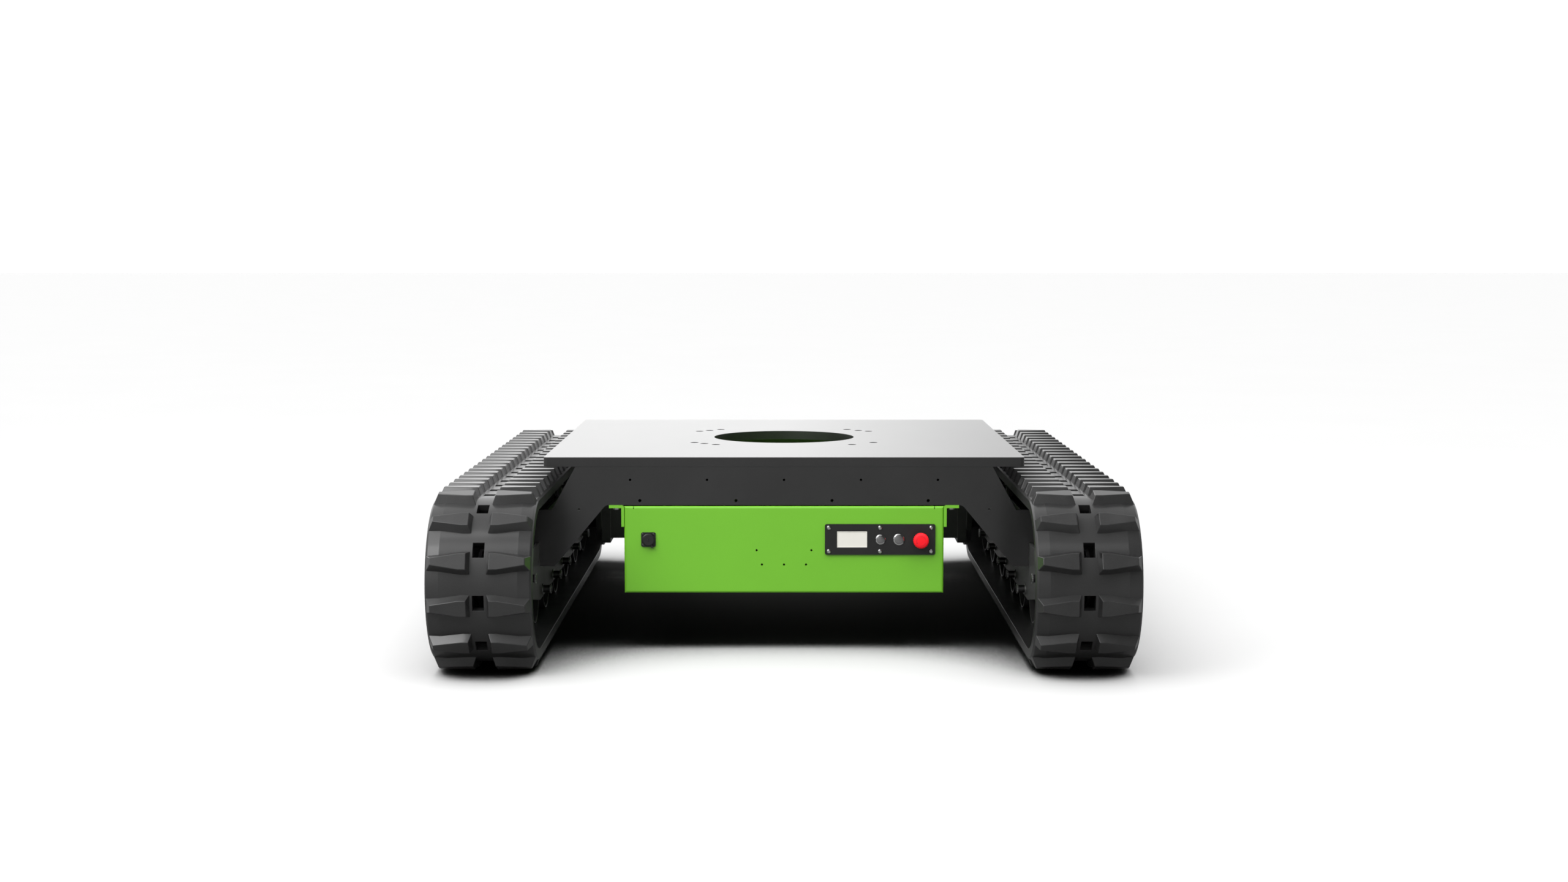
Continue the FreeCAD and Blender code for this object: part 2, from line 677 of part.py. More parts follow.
def lug_plan(inner, outer, length_in, length_out, level):
    """Plan outline of a lug: square inner part, then narrowing to its outer end."""
    turn = inner + 0.21 * (outer - inner)
    half = [(inner, length_in / 2), (turn, length_in / 2), (outer, length_out / 2)]
    points = half + [(across, -along) for across, along in reversed(half)]
    vectors = [FreeCAD.Vector(across, along, level) for across, along in points]
    return Part.makePolygon(vectors + vectors[:1])


def make_lug():
    """One lug, on the +X side of the belt's middle, as a tapered block."""
    tip, root = DIMENSIONS["lug_tip"], DIMENSIONS["lug_root"]
    share = (DIMENSIONS["belt_outer"] - root) / (tip - DIMENSIONS["belt_outer"])
    top = (22.0, 91.4, 32.0, 14.0)
    base = (16.4, 98.4, 44.0, 26.0)
    grown = [low + (low - high) * share for low, high in zip(base, top)]
    return Part.makeLoft([lug_plan(*grown, root), lug_plan(*top, tip)], True, True)


def belt_shape():
    half, inner, outer = (DIMENSIONS[key] for key in ("belt_half", "belt_inner", "belt_outer"))
    flat, shoulder = DIMENSIONS["belt_flat"], DIMENSIONS["belt_shoulder"]
    groove, floor = DIMENSIONS["groove_half"], DIMENSIONS["groove_floor"]
    reach, level = DIMENSIONS["axle_reach"], DIMENSIONS["axle_level"]
    right = [(flat, outer), (half - 4, shoulder), (half, shoulder - 4), (half, inner), (groove, inner),
             (groove, floor)]
    outline = right + [(-across, radius) for across, radius in reversed(right)]

    def section(along):
        points = [FreeCAD.Vector(across, along, level + radius) for across, radius in outline]
        return Part.Face(Part.makePolygon(points + points[:1]))

    run = section(-reach).extrude(FreeCAD.Vector(0, 2 * reach, 0))
    low_run = run.copy()
    low_run.rotate(FreeCAD.Vector(0, 0, level), FreeCAD.Vector(1, 0, 0), 180)
    front = section(-reach).revolve(FreeCAD.Vector(0, -reach, level), FreeCAD.Vector(1, 0, 0), 180)
    rear = section(reach).revolve(FreeCAD.Vector(0, reach, level), FreeCAD.Vector(-1, 0, 0), 180)
    belt = run.fuse([low_run, front, rear]).removeSplitter()

    loop = 2 * math.pi * inner + 4 * reach
    wide, long_side = DIMENSIONS["window_wide"], DIMENSIONS["window_long"]
    cutters = []
    start = math.radians(DIMENSIONS["window_start"]) * inner
    for number in range(DIMENSIONS["window_count"]):
        distance = start + number * loop / DIMENSIONS["window_count"]
        corner = FreeCAD.Vector(-wide / 2, -long_side / 2, inner - 8)
        cutter = Part.makeBox(wide, long_side, 40, corner)
        cutter.Placement = belt_frame(distance)
        cutters.append(cutter)
    belt = belt.cut(Part.makeCompound(cutters))

    lug = make_lug()
    mirrored = lug.mirror(FreeCAD.Vector(0, 0, 0), FreeCAD.Vector(1, 0, 0))
    lugs = []
    start = math.radians(DIMENSIONS["lug_start"]) * inner
    for number in range(DIMENSIONS["lug_count"]):
        place = belt_frame(start + number * loop / DIMENSIONS["lug_count"])
        for half_lug in (lug, mirrored):
            piece = half_lug.copy()
            piece.transformShape(place.toMatrix())
            lugs.append(piece)
    return belt.fuse(lugs)


def make_belts():
    shape = belt_shape()
    for side, sign in SIDES:
        feature = doc.addObject("Part::Feature", "track_belt_" + side)
        feature.Label = "track_belt_" + side
        feature.Shape = shape
        feature.Placement = FreeCAD.Placement(FreeCAD.Vector(sign * DIMENSIONS["track_place"], 0, 0),
                                              FreeCAD.Rotation())
        NODES.append(feature)


def side_plate_outline():
    level, reach = D["axle_level"], D["axle_reach"]
    arm, drive = D["arm_half"], D["drive_end"]
    step, high = D["arm_step"], D["plate_high"]
    return [(-reach, level + arm), (-reach - arm * 0.707, level + arm * 0.707), (-reach - arm, level),
            (-reach - arm * 0.707, level - arm * 0.707), (-reach, level - arm),
            (-D["lower_turn"], D["plate_low"]), (D["lower_turn"], D["plate_low"]),
            (reach, level - drive), (reach + drive * 0.707, level - drive * 0.707), (reach + drive, level),
            (reach + drive * 0.707, level + drive * 0.707), (reach, level + drive),
            (reach - drive, level + drive), (step + 40, level + arm), (step, level + arm), (step, high),
            (60, high), (32, D["ear_top"]), (-32, D["ear_top"]), (-60, high),
            (-step, high), (-step, level + arm)]


def make_side_plates():
    for side, sign in SIDES:
        for place, name in ((-1, "inner"), (1, "outer")):
            near = sign * D["track_place"] + sign * place * D["plate_near"]
            far = near + sign * place * D["plate_thick"]
            low, high = (near, far) if far.value > near.value else (far, near)
            body = new_body("side_plate_%s_%s" % (name, side))
            slab(body, "YZ", [side_plate_outline()], low, high)
            bore = D["axle_size"] + 0.1
            holes = [(along, D["roller_level"], bore) for along in ROLLER_PLACES]
            holes += [(0, D["carrier_level"], bore), (-D["axle_reach"], D["axle_level"], bore)]
            holes += [(along, D["spacer_level"], D["frame_bolt"] + 0.2) for along in SPACER_PLACES]
            drive = 34 if name == "inner" else 15 + D["run_gap"]
            holes.append((D["axle_reach"], D["axle_level"], drive))
            slab(body, "YZ", holes, low, high, "Pocket")


def make_spacers():
    near = DIMENSIONS["plate_near"]
    for side, sign in SIDES:
        middle = sign * DIMENSIONS["track_place"]
        bars = []
        for along in SPACER_PLACES:
            size = DIMENSIONS["spacer_size"]
            bar = spun([(0, 6.1), (0, size), (2 * near, size), (2 * near, 6.1)],
                       (middle - near, along, DIMENSIONS["spacer_level"]), (1, 0, 0))
            bars.append(bar)
        group("frame_spacers_" + side, bars)


def drum(label, side_sign, place_along, level, radius, bore, hub):
    """A hollow drum: rim wall, middle web and hub, turned about its own X axis."""
    body = new_body(label, (side_sign * D["track_place"], place_along, level))
    half = D["drum_half"]
    rim = radius - D["rim_wall"]
    web = 5
    edge = radius - 1
    outline = [(-half, edge), (-half + 1, radius), (half - 1, radius), (half, edge), (half, rim),
               (web, rim), (web, hub), (half, hub), (half, bore), (-half, bore), (-half, hub),
               (-web, hub), (-web, rim), (-half, rim)]
    turned(body, "XY", "H", outline)


def make_idler(label, side_sign, bore):
    """Two dished wheels joined by a thick middle hub with a narrow ring groove."""
    body = new_body(label, (side_sign * D["track_place"], -D["axle_reach"], D["axle_level"]))
    half, radius = D["drum_half"], D["drum_size"]
    rim, edge = radius - D["rim_wall"], radius - 1
    inside, web, middle, hub = D["idler_gap"], D["idler_gap"] + 5, D["idler_hub"], 32
    groove = side_sign * 7 - 2
    outline = [(-half, edge), (-half + 1, radius), (-inside, radius), (-inside, middle), (groove, middle),
               (groove, middle - 9), (groove + 4, middle - 9), (groove + 4, middle), (inside, middle),
               (inside, radius), (half - 1, radius), (half, edge), (half, rim), (web, rim), (web, hub),
               (half, hub), (half, bore), (-half, bore), (-half, hub), (-web, hub), (-web, rim),
               (-half, rim)]
    turned(body, "XY", "H", outline)


def make_rollers():
    bore = D["axle_size"] + D["run_gap"]
    for side, sign in SIDES:
        for number, along in enumerate(ROLLER_PLACES, start=1):
            drum("road_wheel_%s_%d" % (side, number), sign, along, D["roller_level"], D["roller_size"],
                 bore, 22)
        drum("carrier_roller_" + side, sign, 0, D["carrier_level"], D["carrier_size"], bore, 20)
        make_idler("idler_" + side, sign, bore)


def make_sprockets():
    """Drive drum with ten teeth, its shaft running into the gearbox and to an outer bearing."""
    for side, sign in SIDES:
        body = new_body("sprocket_" + side, (sign * D["track_place"], D["axle_reach"], D["axle_level"]))
        half, radius, wall = D["drum_half"], D["drum_size"], D["rim_wall"]
        rim = radius - wall
        inward = -sign
        outline = [(-half, radius), (half, radius), (half, rim), (5, rim), (5, 40), (half, 40)]
        if inward < 0:
            outline += [(half, 15), (half + 15, 15), (half + 15, 0), (-130, 0),
                        (-130, D["shaft_size"]), (-half, D["shaft_size"])]
        else:
            outline += [(half, D["shaft_size"]), (130, D["shaft_size"]), (130, 0), (-half - 15, 0),
                        (-half - 15, 15), (-half, 15)]
        outline += [(-half, 40), (-5, 40), (-5, rim), (-half, rim)]
        turned(body, "XY", "H", outline)
        tooth = [(-9, 132), (9, 132), (7, 148.2), (-7, 148.2)]
        sketch = new_sketch(body, "YZ", -7)
        draw_polygon(sketch, tooth)
        pad = body.newObject("PartDesign::Pad", body.Name + "_tooth")
        pad.Profile = sketch
        pad.Length = 14
        doc.recompute()
        ring = body.newObject("PartDesign::PolarPattern", body.Name + "_teeth")
        ring.Originals = [pad]
        ring.Axis = (sketch_axis(body), [""])
        ring.Angle = 360
        ring.Occurrences = 10
        body.Tip = ring
        doc.recompute()


def sketch_axis(body):
    for feature in body.Origin.OriginFeatures:
        if feature.Role == "X_Axis":
            return feature


def make_axles():
    level = DIMENSIONS["roller_level"]
    spots = [(along, level) for along in ROLLER_PLACES]
    spots += [(0, DIMENSIONS["carrier_level"]), (-DIMENSIONS["axle_reach"], DIMENSIONS["axle_level"])]
    near = DIMENSIONS["plate_near"] + DIMENSIONS["plate_thick"]
    size = DIMENSIONS["axle_size"]
    end = near + 20.2
    for side, sign in SIDES:
        middle = sign * DIMENSIONS["track_place"]
        axles = []
        nuts = []
        for along, height in spots:
            origin = (middle, along, height)
            axles.append(spun([(-end, 0), (-end, 8), (-near, 8), (-near, size), (near, size),
                               (near, 8), (end, 8), (end, 0)], origin, (1, 0, 0)))
            for way in (-1, 1):
                start = (middle + way * near, along, height)
                nuts.append(spun([(0, 8), (0, 11), (2, 11), (2, 8)], start, (way, 0, 0)))
                nut_start = (middle + way * (end - 4.5), along, height)
                nut = prism(14, 10.2, 3.5, nut_start, (way, 0, 0))
                bore = spun([(-1, 0), (-1, 8), (5, 8), (5, 0)], nut_start, (way, 0, 0))
                nuts.append(nut.cut(bore))
        group("wheel_axles_" + side, axles)
        group("axle_nuts_" + side, nuts)


# ---- drive -----------------------------------------------------------------------------------

def side_heights(sign, near, far):
    """Low and high X of a slab between two distances inboard of the belt's middle."""
    middle = sign * D["track_place"]
    first, second = middle - sign * far, middle - sign * near
    return (first, second) if first.value < second.value else (second, first)


def make_drives():
    along, level = D["axle_reach"], D["axle_level"]
    for side, sign in SIDES:
        body = new_body("gearbox_" + side)
        plate = D["plate_near"] + D["plate_thick"]
        lip = rectangle(along - D["case_half"], level - D["case_rise"],
                        along + D["case_half"], level + D["case_rise"])
        block = slab(body, "YZ", [lip], *side_heights(sign, D["case_near"], D["case_step"]))
        rounded(body, block, sideways, D["case_corner"])
        case = rectangle(along - D["step_half"], level - D["step_rise"],
                         along + D["step_half"], level + D["step_rise"])
        slab(body, "YZ", [case], *side_heights(sign, D["case_step"], D["case_far"]))
        slab(body, "YZ", [(along, level, D["flange_size"])],
             *side_heights(sign, D["flange_near"], D["case_near"]))
        slab(body, "YZ", [(along, level, D["collar_size"])],
             *side_heights(sign, plate, D["flange_near"]))
        slab(body, "YZ", [(along, level, D["shaft_size"] + D["run_gap"])],
             *side_heights(sign, plate, 131), "Pocket")

        motor = new_body("motor_" + side, (sign * D["track_place"] - sign * D["case_far"], along, level))
        size = D["motor_size"]
        length = D["motor_far"] - D["case_far"]
        outline = [(0, 0), (0, size)]
        for number in range(9):
            start = 16 + 14 * number
            outline += [(-sign * start, size), (-sign * start, size - 7),
                        (-sign * (start + 8), size - 7), (-sign * (start + 8), size)]
        outline += [(-sign * length, size), (-sign * length, 0)]
        turned(motor, "XY", "H", outline)


def make_frame_bolts():
    bolts = []
    outside = DIMENSIONS["plate_near"] + DIMENSIONS["plate_thick"]
    shank = DIMENSIONS["frame_bolt"]
    for _, sign in SIDES:
        middle = sign * DIMENSIONS["track_place"]
        for along in SPACER_PLACES:
            for way in (-1, 1):
                place = (middle + way * outside, along, DIMENSIONS["spacer_level"])
                bolts.append(hex_bolt(place, (-way, 0, 0), shank, 30, 18, 7.5))
    group("track_frame_bolts", bolts)


# ---- build, check and write ------------------------------------------------------------------

make_deck()
make_portal("portal_plate_front", -1, D["leg_low"])
make_portal("portal_plate_rear", 1, D["rear_leg_low"])
make_tubes()
make_box()
make_box_fittings()
make_panel()
make_button("power", D["power_place"], 11, 9.5, 7.5)
make_button("start", D["start_place"], 12.5, 11, 9)
make_stop()
make_socket()
make_belts()
make_side_plates()
make_spacers()
make_rollers()
make_sprockets()
make_axles()
make_drives()
make_frame_bolts()
doc.recompute()

for item in doc.Objects:
    if "Invalid" in item.State or "Error" in item.State:
        raise RuntimeError("%s failed: %s" % (item.Name, item.State))

os.makedirs("parts", exist_ok=True)
for node in NODES:
    shape = node.Shape
    if shape.isNull() or not shape.isValid() or not shape.Solids:
        raise RuntimeError("%s has no valid shape" % node.Label)
    shape.exportStep("parts/%s.step" % node.Label)
    print("%-28s solids %3d volume %12.1f" % (node.Label, len(shape.Solids), shape.Volume))
print("%d nodes" % len(NODES))
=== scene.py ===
import math

import bmesh
import bpy
from mathutils import Matrix, Vector


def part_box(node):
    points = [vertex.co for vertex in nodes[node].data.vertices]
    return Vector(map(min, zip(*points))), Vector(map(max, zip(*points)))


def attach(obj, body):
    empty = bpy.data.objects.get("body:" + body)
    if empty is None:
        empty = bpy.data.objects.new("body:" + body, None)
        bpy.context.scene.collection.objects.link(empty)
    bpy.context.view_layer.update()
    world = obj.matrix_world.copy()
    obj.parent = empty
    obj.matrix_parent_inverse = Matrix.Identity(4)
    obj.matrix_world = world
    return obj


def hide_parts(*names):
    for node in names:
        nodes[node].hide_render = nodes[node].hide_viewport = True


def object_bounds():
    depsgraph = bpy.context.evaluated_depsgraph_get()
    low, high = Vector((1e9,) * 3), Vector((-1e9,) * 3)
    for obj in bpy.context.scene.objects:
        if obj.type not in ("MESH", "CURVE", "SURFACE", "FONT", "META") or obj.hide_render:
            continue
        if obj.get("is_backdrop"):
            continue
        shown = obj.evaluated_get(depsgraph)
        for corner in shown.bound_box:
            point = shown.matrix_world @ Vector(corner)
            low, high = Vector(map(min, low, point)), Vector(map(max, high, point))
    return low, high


# Tracked robot chassis. Metres, +X is the right-hand side seen from the front, -Y the front.
# Outlines of small turned pieces are written in millimetres and scaled by MM.

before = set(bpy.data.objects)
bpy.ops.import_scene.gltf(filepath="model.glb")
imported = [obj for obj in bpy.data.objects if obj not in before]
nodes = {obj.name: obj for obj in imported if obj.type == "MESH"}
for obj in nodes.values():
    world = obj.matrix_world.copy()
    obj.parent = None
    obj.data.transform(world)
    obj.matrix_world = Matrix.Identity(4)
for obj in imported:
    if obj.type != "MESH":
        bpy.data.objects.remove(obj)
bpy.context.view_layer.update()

MM = 0.001
SIDES = (("left", -1), ("right", 1))
WHEELS = 5


# ---- camera, light and floor -----------------------------------------------------------------

CAMERA_PLACE = (0.0, -5.135, 0.844)
CAMERA_PITCH = 84.97
CAMERA_LENS = 51.47
# (axis of the direction, strength at start, strength at end, start, end)
BACKDROP = ("X", 1.2, 1.2, -1, 1)
MIRRORED_BEHIND = ("X", 1.33, 0.86, 0.0, 0.10)
MIRRORED_AHEAD = ("X", 0.50, 0.04, -0.25, 0.25)
AHEAD_TO_BEHIND = ("Y", 0, 1, 0.1, 0.7)
OVERHEAD = ("Z", 0.0, 4.2, 0.4, 1)
FRONT_GLOW = ("Y", 1.08, 0, -1, -0.2)
FRONT_GLOW_SIDES = ("X", 1.7, 0.15, -0.6, 0.6)

camera_data = bpy.data.cameras.new("camera")
camera_data.lens = CAMERA_LENS
camera_data.sensor_width = 36
camera = bpy.data.objects.new("camera", camera_data)
camera.location = CAMERA_PLACE
camera.rotation_euler = (math.radians(CAMERA_PITCH), 0, 0)
bpy.context.scene.collection.objects.link(camera)
bpy.context.scene.camera = camera
bpy.context.scene.view_settings.view_transform = "Standard"


def make_world():
    """A white room: light comes from overhead and, more on the left, from the front.

    Reflections see a bright wall behind the object and a dim one ahead of it.
    """
    world = bpy.data.worlds.new("white_room")
    bpy.context.scene.world = world
    world.use_nodes = True
    tree = world.node_tree
    tree.nodes.clear()
    place = tree.nodes.new("ShaderNodeTexCoord")
    split = tree.nodes.new("ShaderNodeSeparateXYZ")
    tree.links.new(place.outputs["Generated"], split.inputs[0])

    def ramp(axis, low, high, start, end):
        span = tree.nodes.new("ShaderNodeMapRange")
        span.inputs["From Min"].default_value = start
        span.inputs["From Max"].default_value = end
        span.inputs["To Min"].default_value = low
        span.inputs["To Max"].default_value = high
        tree.links.new(split.outputs[axis], span.inputs["Value"])
        return span.outputs["Result"]

    def background(strength):
        back = tree.nodes.new("ShaderNodeBackground")
        back.inputs["Color"].default_value = (1, 1, 1, 1)
        tree.links.new(strength, back.inputs["Strength"])
        return back.outputs[0]

    def blend(factor, when_zero, when_one):
        mix = tree.nodes.new("ShaderNodeMixShader")
        tree.links.new(factor, mix.inputs["Fac"])
        tree.links.new(when_zero, mix.inputs[1])
        tree.links.new(when_one, mix.inputs[2])
        return mix.outputs[0]

    path = tree.nodes.new("ShaderNodeLightPath")
    backdrop = background(ramp(*BACKDROP))
    mirrored = blend(ramp(*AHEAD_TO_BEHIND), background(ramp(*MIRRORED_AHEAD)),
                     background(ramp(*MIRRORED_BEHIND)))
    product = tree.nodes.new("ShaderNodeMath")
    product.operation = "MULTIPLY"
    tree.links.new(ramp(*FRONT_GLOW), product.inputs[0])
    tree.links.new(ramp(*FRONT_GLOW_SIDES), product.inputs[1])
    dome = tree.nodes.new("ShaderNodeAddShader")
    tree.links.new(background(ramp(*OVERHEAD)), dome.inputs[0])
    tree.links.new(background(product.outputs[0]), dome.inputs[1])
    light = blend(path.outputs["Is Diffuse Ray"], mirrored, dome.outputs[0])
    out = tree.nodes.new("ShaderNodeOutputWorld")
    tree.links.new(blend(path.outputs["Is Camera Ray"], light, backdrop), out.inputs["Surface"])


def area_light(name, place, aim, size, power):
    data = bpy.data.lights.new(name, "AREA")
    data.shape = "RECTANGLE"
    data.size, data.size_y = size
    data.energy = power
    light = bpy.data.objects.new(name, data)
    light.location = place
    light.rotation_euler = (Vector(aim) - Vector(place)).to_track_quat("-Z", "Y").to_euler()
    bpy.context.scene.collection.objects.link(light)


make_world()
area_light("key_light", (-2.2, -1.6, 3.6), (0, 0, 0.2), (2.4, 2.0), 35)
area_light("front_light", (-2.3, -2.9, 2.3), (-0.3, -0.7, 0.2), (1.8, 1.4), 45)
area_light("top_softbox", (0, -3.6, 3.9), (0, -0.5, 0.2), (3.2, 0.9), 9)


# ---- materials -------------------------------------------------------------------------------

def grey(value):
    return (value, value, value)


def put(tree, kind, **settings):
    node = tree.nodes.new(kind)
    for name, value in settings.items():
        setattr(node, name, value)
    return node


COAT_ROUGHNESS = 0.16
SPECK_EDGE = 0.08


def finish_material(name, colour, other, rough, rough_span, scale, bump, metal=0.0, coat=0.0,
                    ior=1.5, stretch=(1, 1, 1), speck=None):
    """A surface whose colour and roughness drift with noise, with a fine grain in its relief.

    scale is (drift, grain) in features per metre and bump is the grain's height in metres.
    speck is an optional (colour, share, features per metre) for a scatter of fine spots.
    """
    made = bpy.data.materials.new(name)
    made.use_nodes = True
    tree = made.node_tree
    shader = tree.nodes["Principled BSDF"]
    link = tree.links.new
    place = put(tree, "ShaderNodeTexCoord")
    mapping = put(tree, "ShaderNodeMapping")
    mapping.inputs["Scale"].default_value = stretch
    link(place.outputs["Object"], mapping.inputs["Vector"])

    drift = put(tree, "ShaderNodeTexNoise")
    drift.inputs["Scale"].default_value = scale[0]
    drift.inputs["Detail"].default_value = 5
    link(mapping.outputs[0], drift.inputs["Vector"])
    blend = put(tree, "ShaderNodeMix", data_type="RGBA")
    blend.inputs["A"].default_value = (*colour, 1)
    blend.inputs["B"].default_value = (*other, 1)
    contrast = put(tree, "ShaderNodeMapRange")
    contrast.inputs["From Min"].default_value = 0.3
    contrast.inputs["From Max"].default_value = 0.7
    link(drift.outputs[0], contrast.inputs["Value"])
    link(contrast.outputs["Result"], blend.inputs["Factor"])

    grain = put(tree, "ShaderNodeTexNoise")
    grain.inputs["Scale"].default_value = scale[1]
    grain.inputs["Detail"].default_value = 3
    link(mapping.outputs[0], grain.inputs["Vector"])
    relief = put(tree, "ShaderNodeBump")
    relief.inputs["Distance"].default_value = bump
    relief.inputs["Strength"].default_value = 1.0
    link(grain.outputs[0], relief.inputs["Height"])
    link(relief.outputs[0], shader.inputs["Normal"])

    worn = put(tree, "ShaderNodeMapRange")
    worn.inputs["To Min"].default_value = rough - rough_span
    worn.inputs["To Max"].default_value = rough + rough_span
    link(drift.outputs[0], worn.inputs["Value"])
    link(worn.outputs["Result"], shader.inputs["Roughness"])

    last = blend.outputs["Result"]
    if speck:
        spot_colour, share, fineness = speck
        spots = put(tree, "ShaderNodeTexNoise")
        spots.inputs["Scale"].default_value = fineness
        spots.inputs["Detail"].default_value = 1
        link(mapping.outputs[0], spots.inputs["Vector"])
        cut = put(tree, "ShaderNodeMapRange")
        cut.inputs["From Min"].default_value = 1 - share
        cut.inputs["From Max"].default_value = 1 - share + SPECK_EDGE
        link(spots.outputs[0], cut.inputs["Value"])
        top = put(tree, "ShaderNodeMix", data_type="RGBA")
        top.inputs["B"].default_value = (*spot_colour, 1)
        link(cut.outputs["Result"], top.inputs["Factor"])
        link(last, top.inputs["A"])
        last = top.outputs["Result"]
    link(last, shader.inputs["Base Color"])
    shader.inputs["Metallic"].default_value = metal
    shader.inputs["Coat Weight"].default_value = coat
    shader.inputs["Coat Roughness"].default_value = COAT_ROUGHNESS
    shader.inputs["IOR"].default_value = ior
    return made


LOOKS = {
    "deck_coat": finish_material("deck_coat", grey(0.014), grey(0.018), 0.42, 0.05, (9, 900),
                                 0.00012, coat=1.0, speck=(grey(0.036), 0.40, 1500)),
    "box_coat": finish_material("box_coat", (0.165, 0.50, 0.024), (0.158, 0.48, 0.022), 0.44, 0.04,
                                (7, 1100), 0.00006, coat=0.12,
                                speck=((0.20, 0.57, 0.04), 0.38, 1700)),
    "frame_coat": finish_material("frame_coat", grey(0.045), grey(0.06), 0.45, 0.08, (14, 700),
                                  0.00012, speck=(grey(0.14), 0.40, 1300)),
    "drive_coat": finish_material("drive_coat", grey(0.045), grey(0.058), 0.48, 0.06, (12, 600),
                                  0.00015),
    "idler_coat": finish_material("idler_coat", grey(0.05), grey(0.065), 0.42, 0.08, (16, 500),
                                  0.00010),
    "belt_rubber": finish_material("belt_rubber", grey(0.019), grey(0.024), 0.46, 0.06, (18, 850),
                                   0.00005, coat=0.5, speck=(grey(0.036), 0.36, 1200)),
    "lug_rubber": finish_material("lug_rubber", grey(0.020), grey(0.026), 0.46, 0.06, (26, 900),
                                  0.00005, coat=0.7, speck=(grey(0.038), 0.38, 1200)),
    "roller_rubber": finish_material("roller_rubber", grey(0.028), grey(0.036), 0.42, 0.07,
                                     (20, 700), 0.00008),
    "black_plastic": finish_material("black_plastic", grey(0.014), grey(0.017), 0.45, 0.05,
                                     (30, 1600), 0.00003, speck=(grey(0.026), 0.38, 2600)),
    "battery_case": finish_material("battery_case", (0.05, 0.09, 0.16), (0.06, 0.10, 0.18), 0.4,
                                    0.05, (12, 600), 0.00005),
    "red_plastic": finish_material("red_plastic", (0.98, 0.012, 0.024), (0.93, 0.010, 0.020), 0.55,
                                   0.04, (60, 1800), 0.00002, ior=1.3),
    "red_mark": finish_material("red_mark", (0.60, 0.006, 0.014), (0.54, 0.005, 0.012), 0.42, 0.04,
                                (60, 1800), 0.00002),
    "screen": finish_material("screen", (0.80, 0.785, 0.72), (0.77, 0.755, 0.69), 0.32, 0.03,
                              (40, 2400), 0.00001, coat=0.3),
    "zinc_steel": finish_material("zinc_steel", grey(0.52), grey(0.62), 0.34, 0.08, (90, 1500),
                                  0.00004, metal=1.0),
    "dark_steel": finish_material("dark_steel", grey(0.10), grey(0.15), 0.34, 0.08, (60, 1200),
                                  0.00004, metal=1.0),
    "polished_steel": finish_material("polished_steel", grey(0.72), grey(0.80), 0.16, 0.04,
                                      (120, 2200), 0.00001, metal=1.0),
    "brushed_steel": finish_material("brushed_steel", grey(0.36), grey(0.42), 0.38, 0.05,
                                     (90, 1500), 0.00002, metal=1.0, stretch=(1, 1, 12)),
    "floor_paint": finish_material("floor_paint", grey(0.47), grey(0.475), 0.9, 0.02, (1.5, 60),
                                   0.00002, ior=1.2),
}


# ---- mesh helpers ----------------------------------------------------------------------------

def placing(origin, axis):
    """From millimetres with X along the axis to metres at the origin."""
    turn = Vector((1, 0, 0)).rotation_difference(Vector(axis)).to_matrix().to_4x4()
    return Matrix.Translation(origin) @ turn @ Matrix.Scale(MM, 4)


def spin(bm, outline, origin, axis, steps=64, closed=True, ripple=None):
    """Turn an outline of (distance along the axis, radius) points, in millimetres, about the axis.

    ripple(point number, angle) gives a factor on the radius.
    """
    place = placing(origin, axis)
    rings = []
    for point, (along, radius) in enumerate(outline):
        ring = []
        for number in range(steps if radius > 0 else 1):
            angle = 2 * math.pi * number / steps
            reach = radius * (ripple(point, angle) if ripple else 1)
            ring.append(bm.verts.new(place @ Vector((along, reach * math.cos(angle),
                                                     reach * math.sin(angle)))))
        rings.append(ring)
    following = rings[1:] + (rings[:1] if closed else [])
    for first, second in zip(rings, following):
        if len(first) == 1 and len(second) == 1:
            continue
        for number in range(steps):
            after = (number + 1) % steps
            if len(first) == 1:
                corners = (first[0], second[number], second[after])
            elif len(second) == 1:
                corners = (first[number], second[0], first[after])
            else:
                corners = (first[number], second[number], second[after], first[after])
            bm.faces.new(corners)
    return rings


HEAD_STEPS = 48
HEAD_CHAMFER = math.tan(math.radians(30))


def hexagon(half, angle):
    """How far a hexagon with flats at half reaches at an angle."""
    folded = (angle + math.pi / 6) % (math.pi / 3) - math.pi / 6
    return half / math.cos(folded)


def skin(bm, first, second):
    """Faces between two rings of the same number of points."""
    for number in range(len(first)):
        after = (number + 1) % len(first)
        bm.faces.new((first[number], first[after], second[after], second[number]))


def hex_head(bm, origin, axis, across, height):
    """A hexagon head with its corners turned off at the top, growing from origin along axis."""
    half = across / 2
    place = placing(origin, axis)
    low, side, crown = [], [], []
    for number in range(HEAD_STEPS):
        angle = 2 * math.pi * number / HEAD_STEPS
        out = hexagon(half, angle)
        fall = (out - half) * HEAD_CHAMFER + 0.01
        for ring, along, reach in ((low, 0, out), (side, height - fall, out),
                                   (crown, height, half - 0.3)):
            spot = Vector((along, reach * math.cos(angle), reach * math.sin(angle)))
            ring.append(bm.verts.new(place @ spot))
    skin(bm, low, side)
    skin(bm, side, crown)
    bm.faces.new(crown)
    bm.faces.new(low[::-1])


def socket_head(bm, origin, axis, outline, bore, depth):
    """A round screw head, turned from its outline, with a hexagon socket in its top."""
    place = placing(origin, axis)
    rings = spin(bm, outline, origin, axis, HEAD_STEPS, closed=False)
    top = outline[-1][0]
    mouth, floor = [], []
    for number in range(HEAD_STEPS):
        angle = 2 * math.pi * number / HEAD_STEPS
        reach = hexagon(bore, angle)
        for ring, along in ((mouth, top), (floor, top - depth)):
            spot = Vector((along, reach * math.cos(angle), reach * math.sin(angle)))
            ring.append(bm.verts.new(place @ spot))
    skin(bm, rings[-1], mouth)
    skin(bm, mouth, floor)
    bm.faces.new(floor)


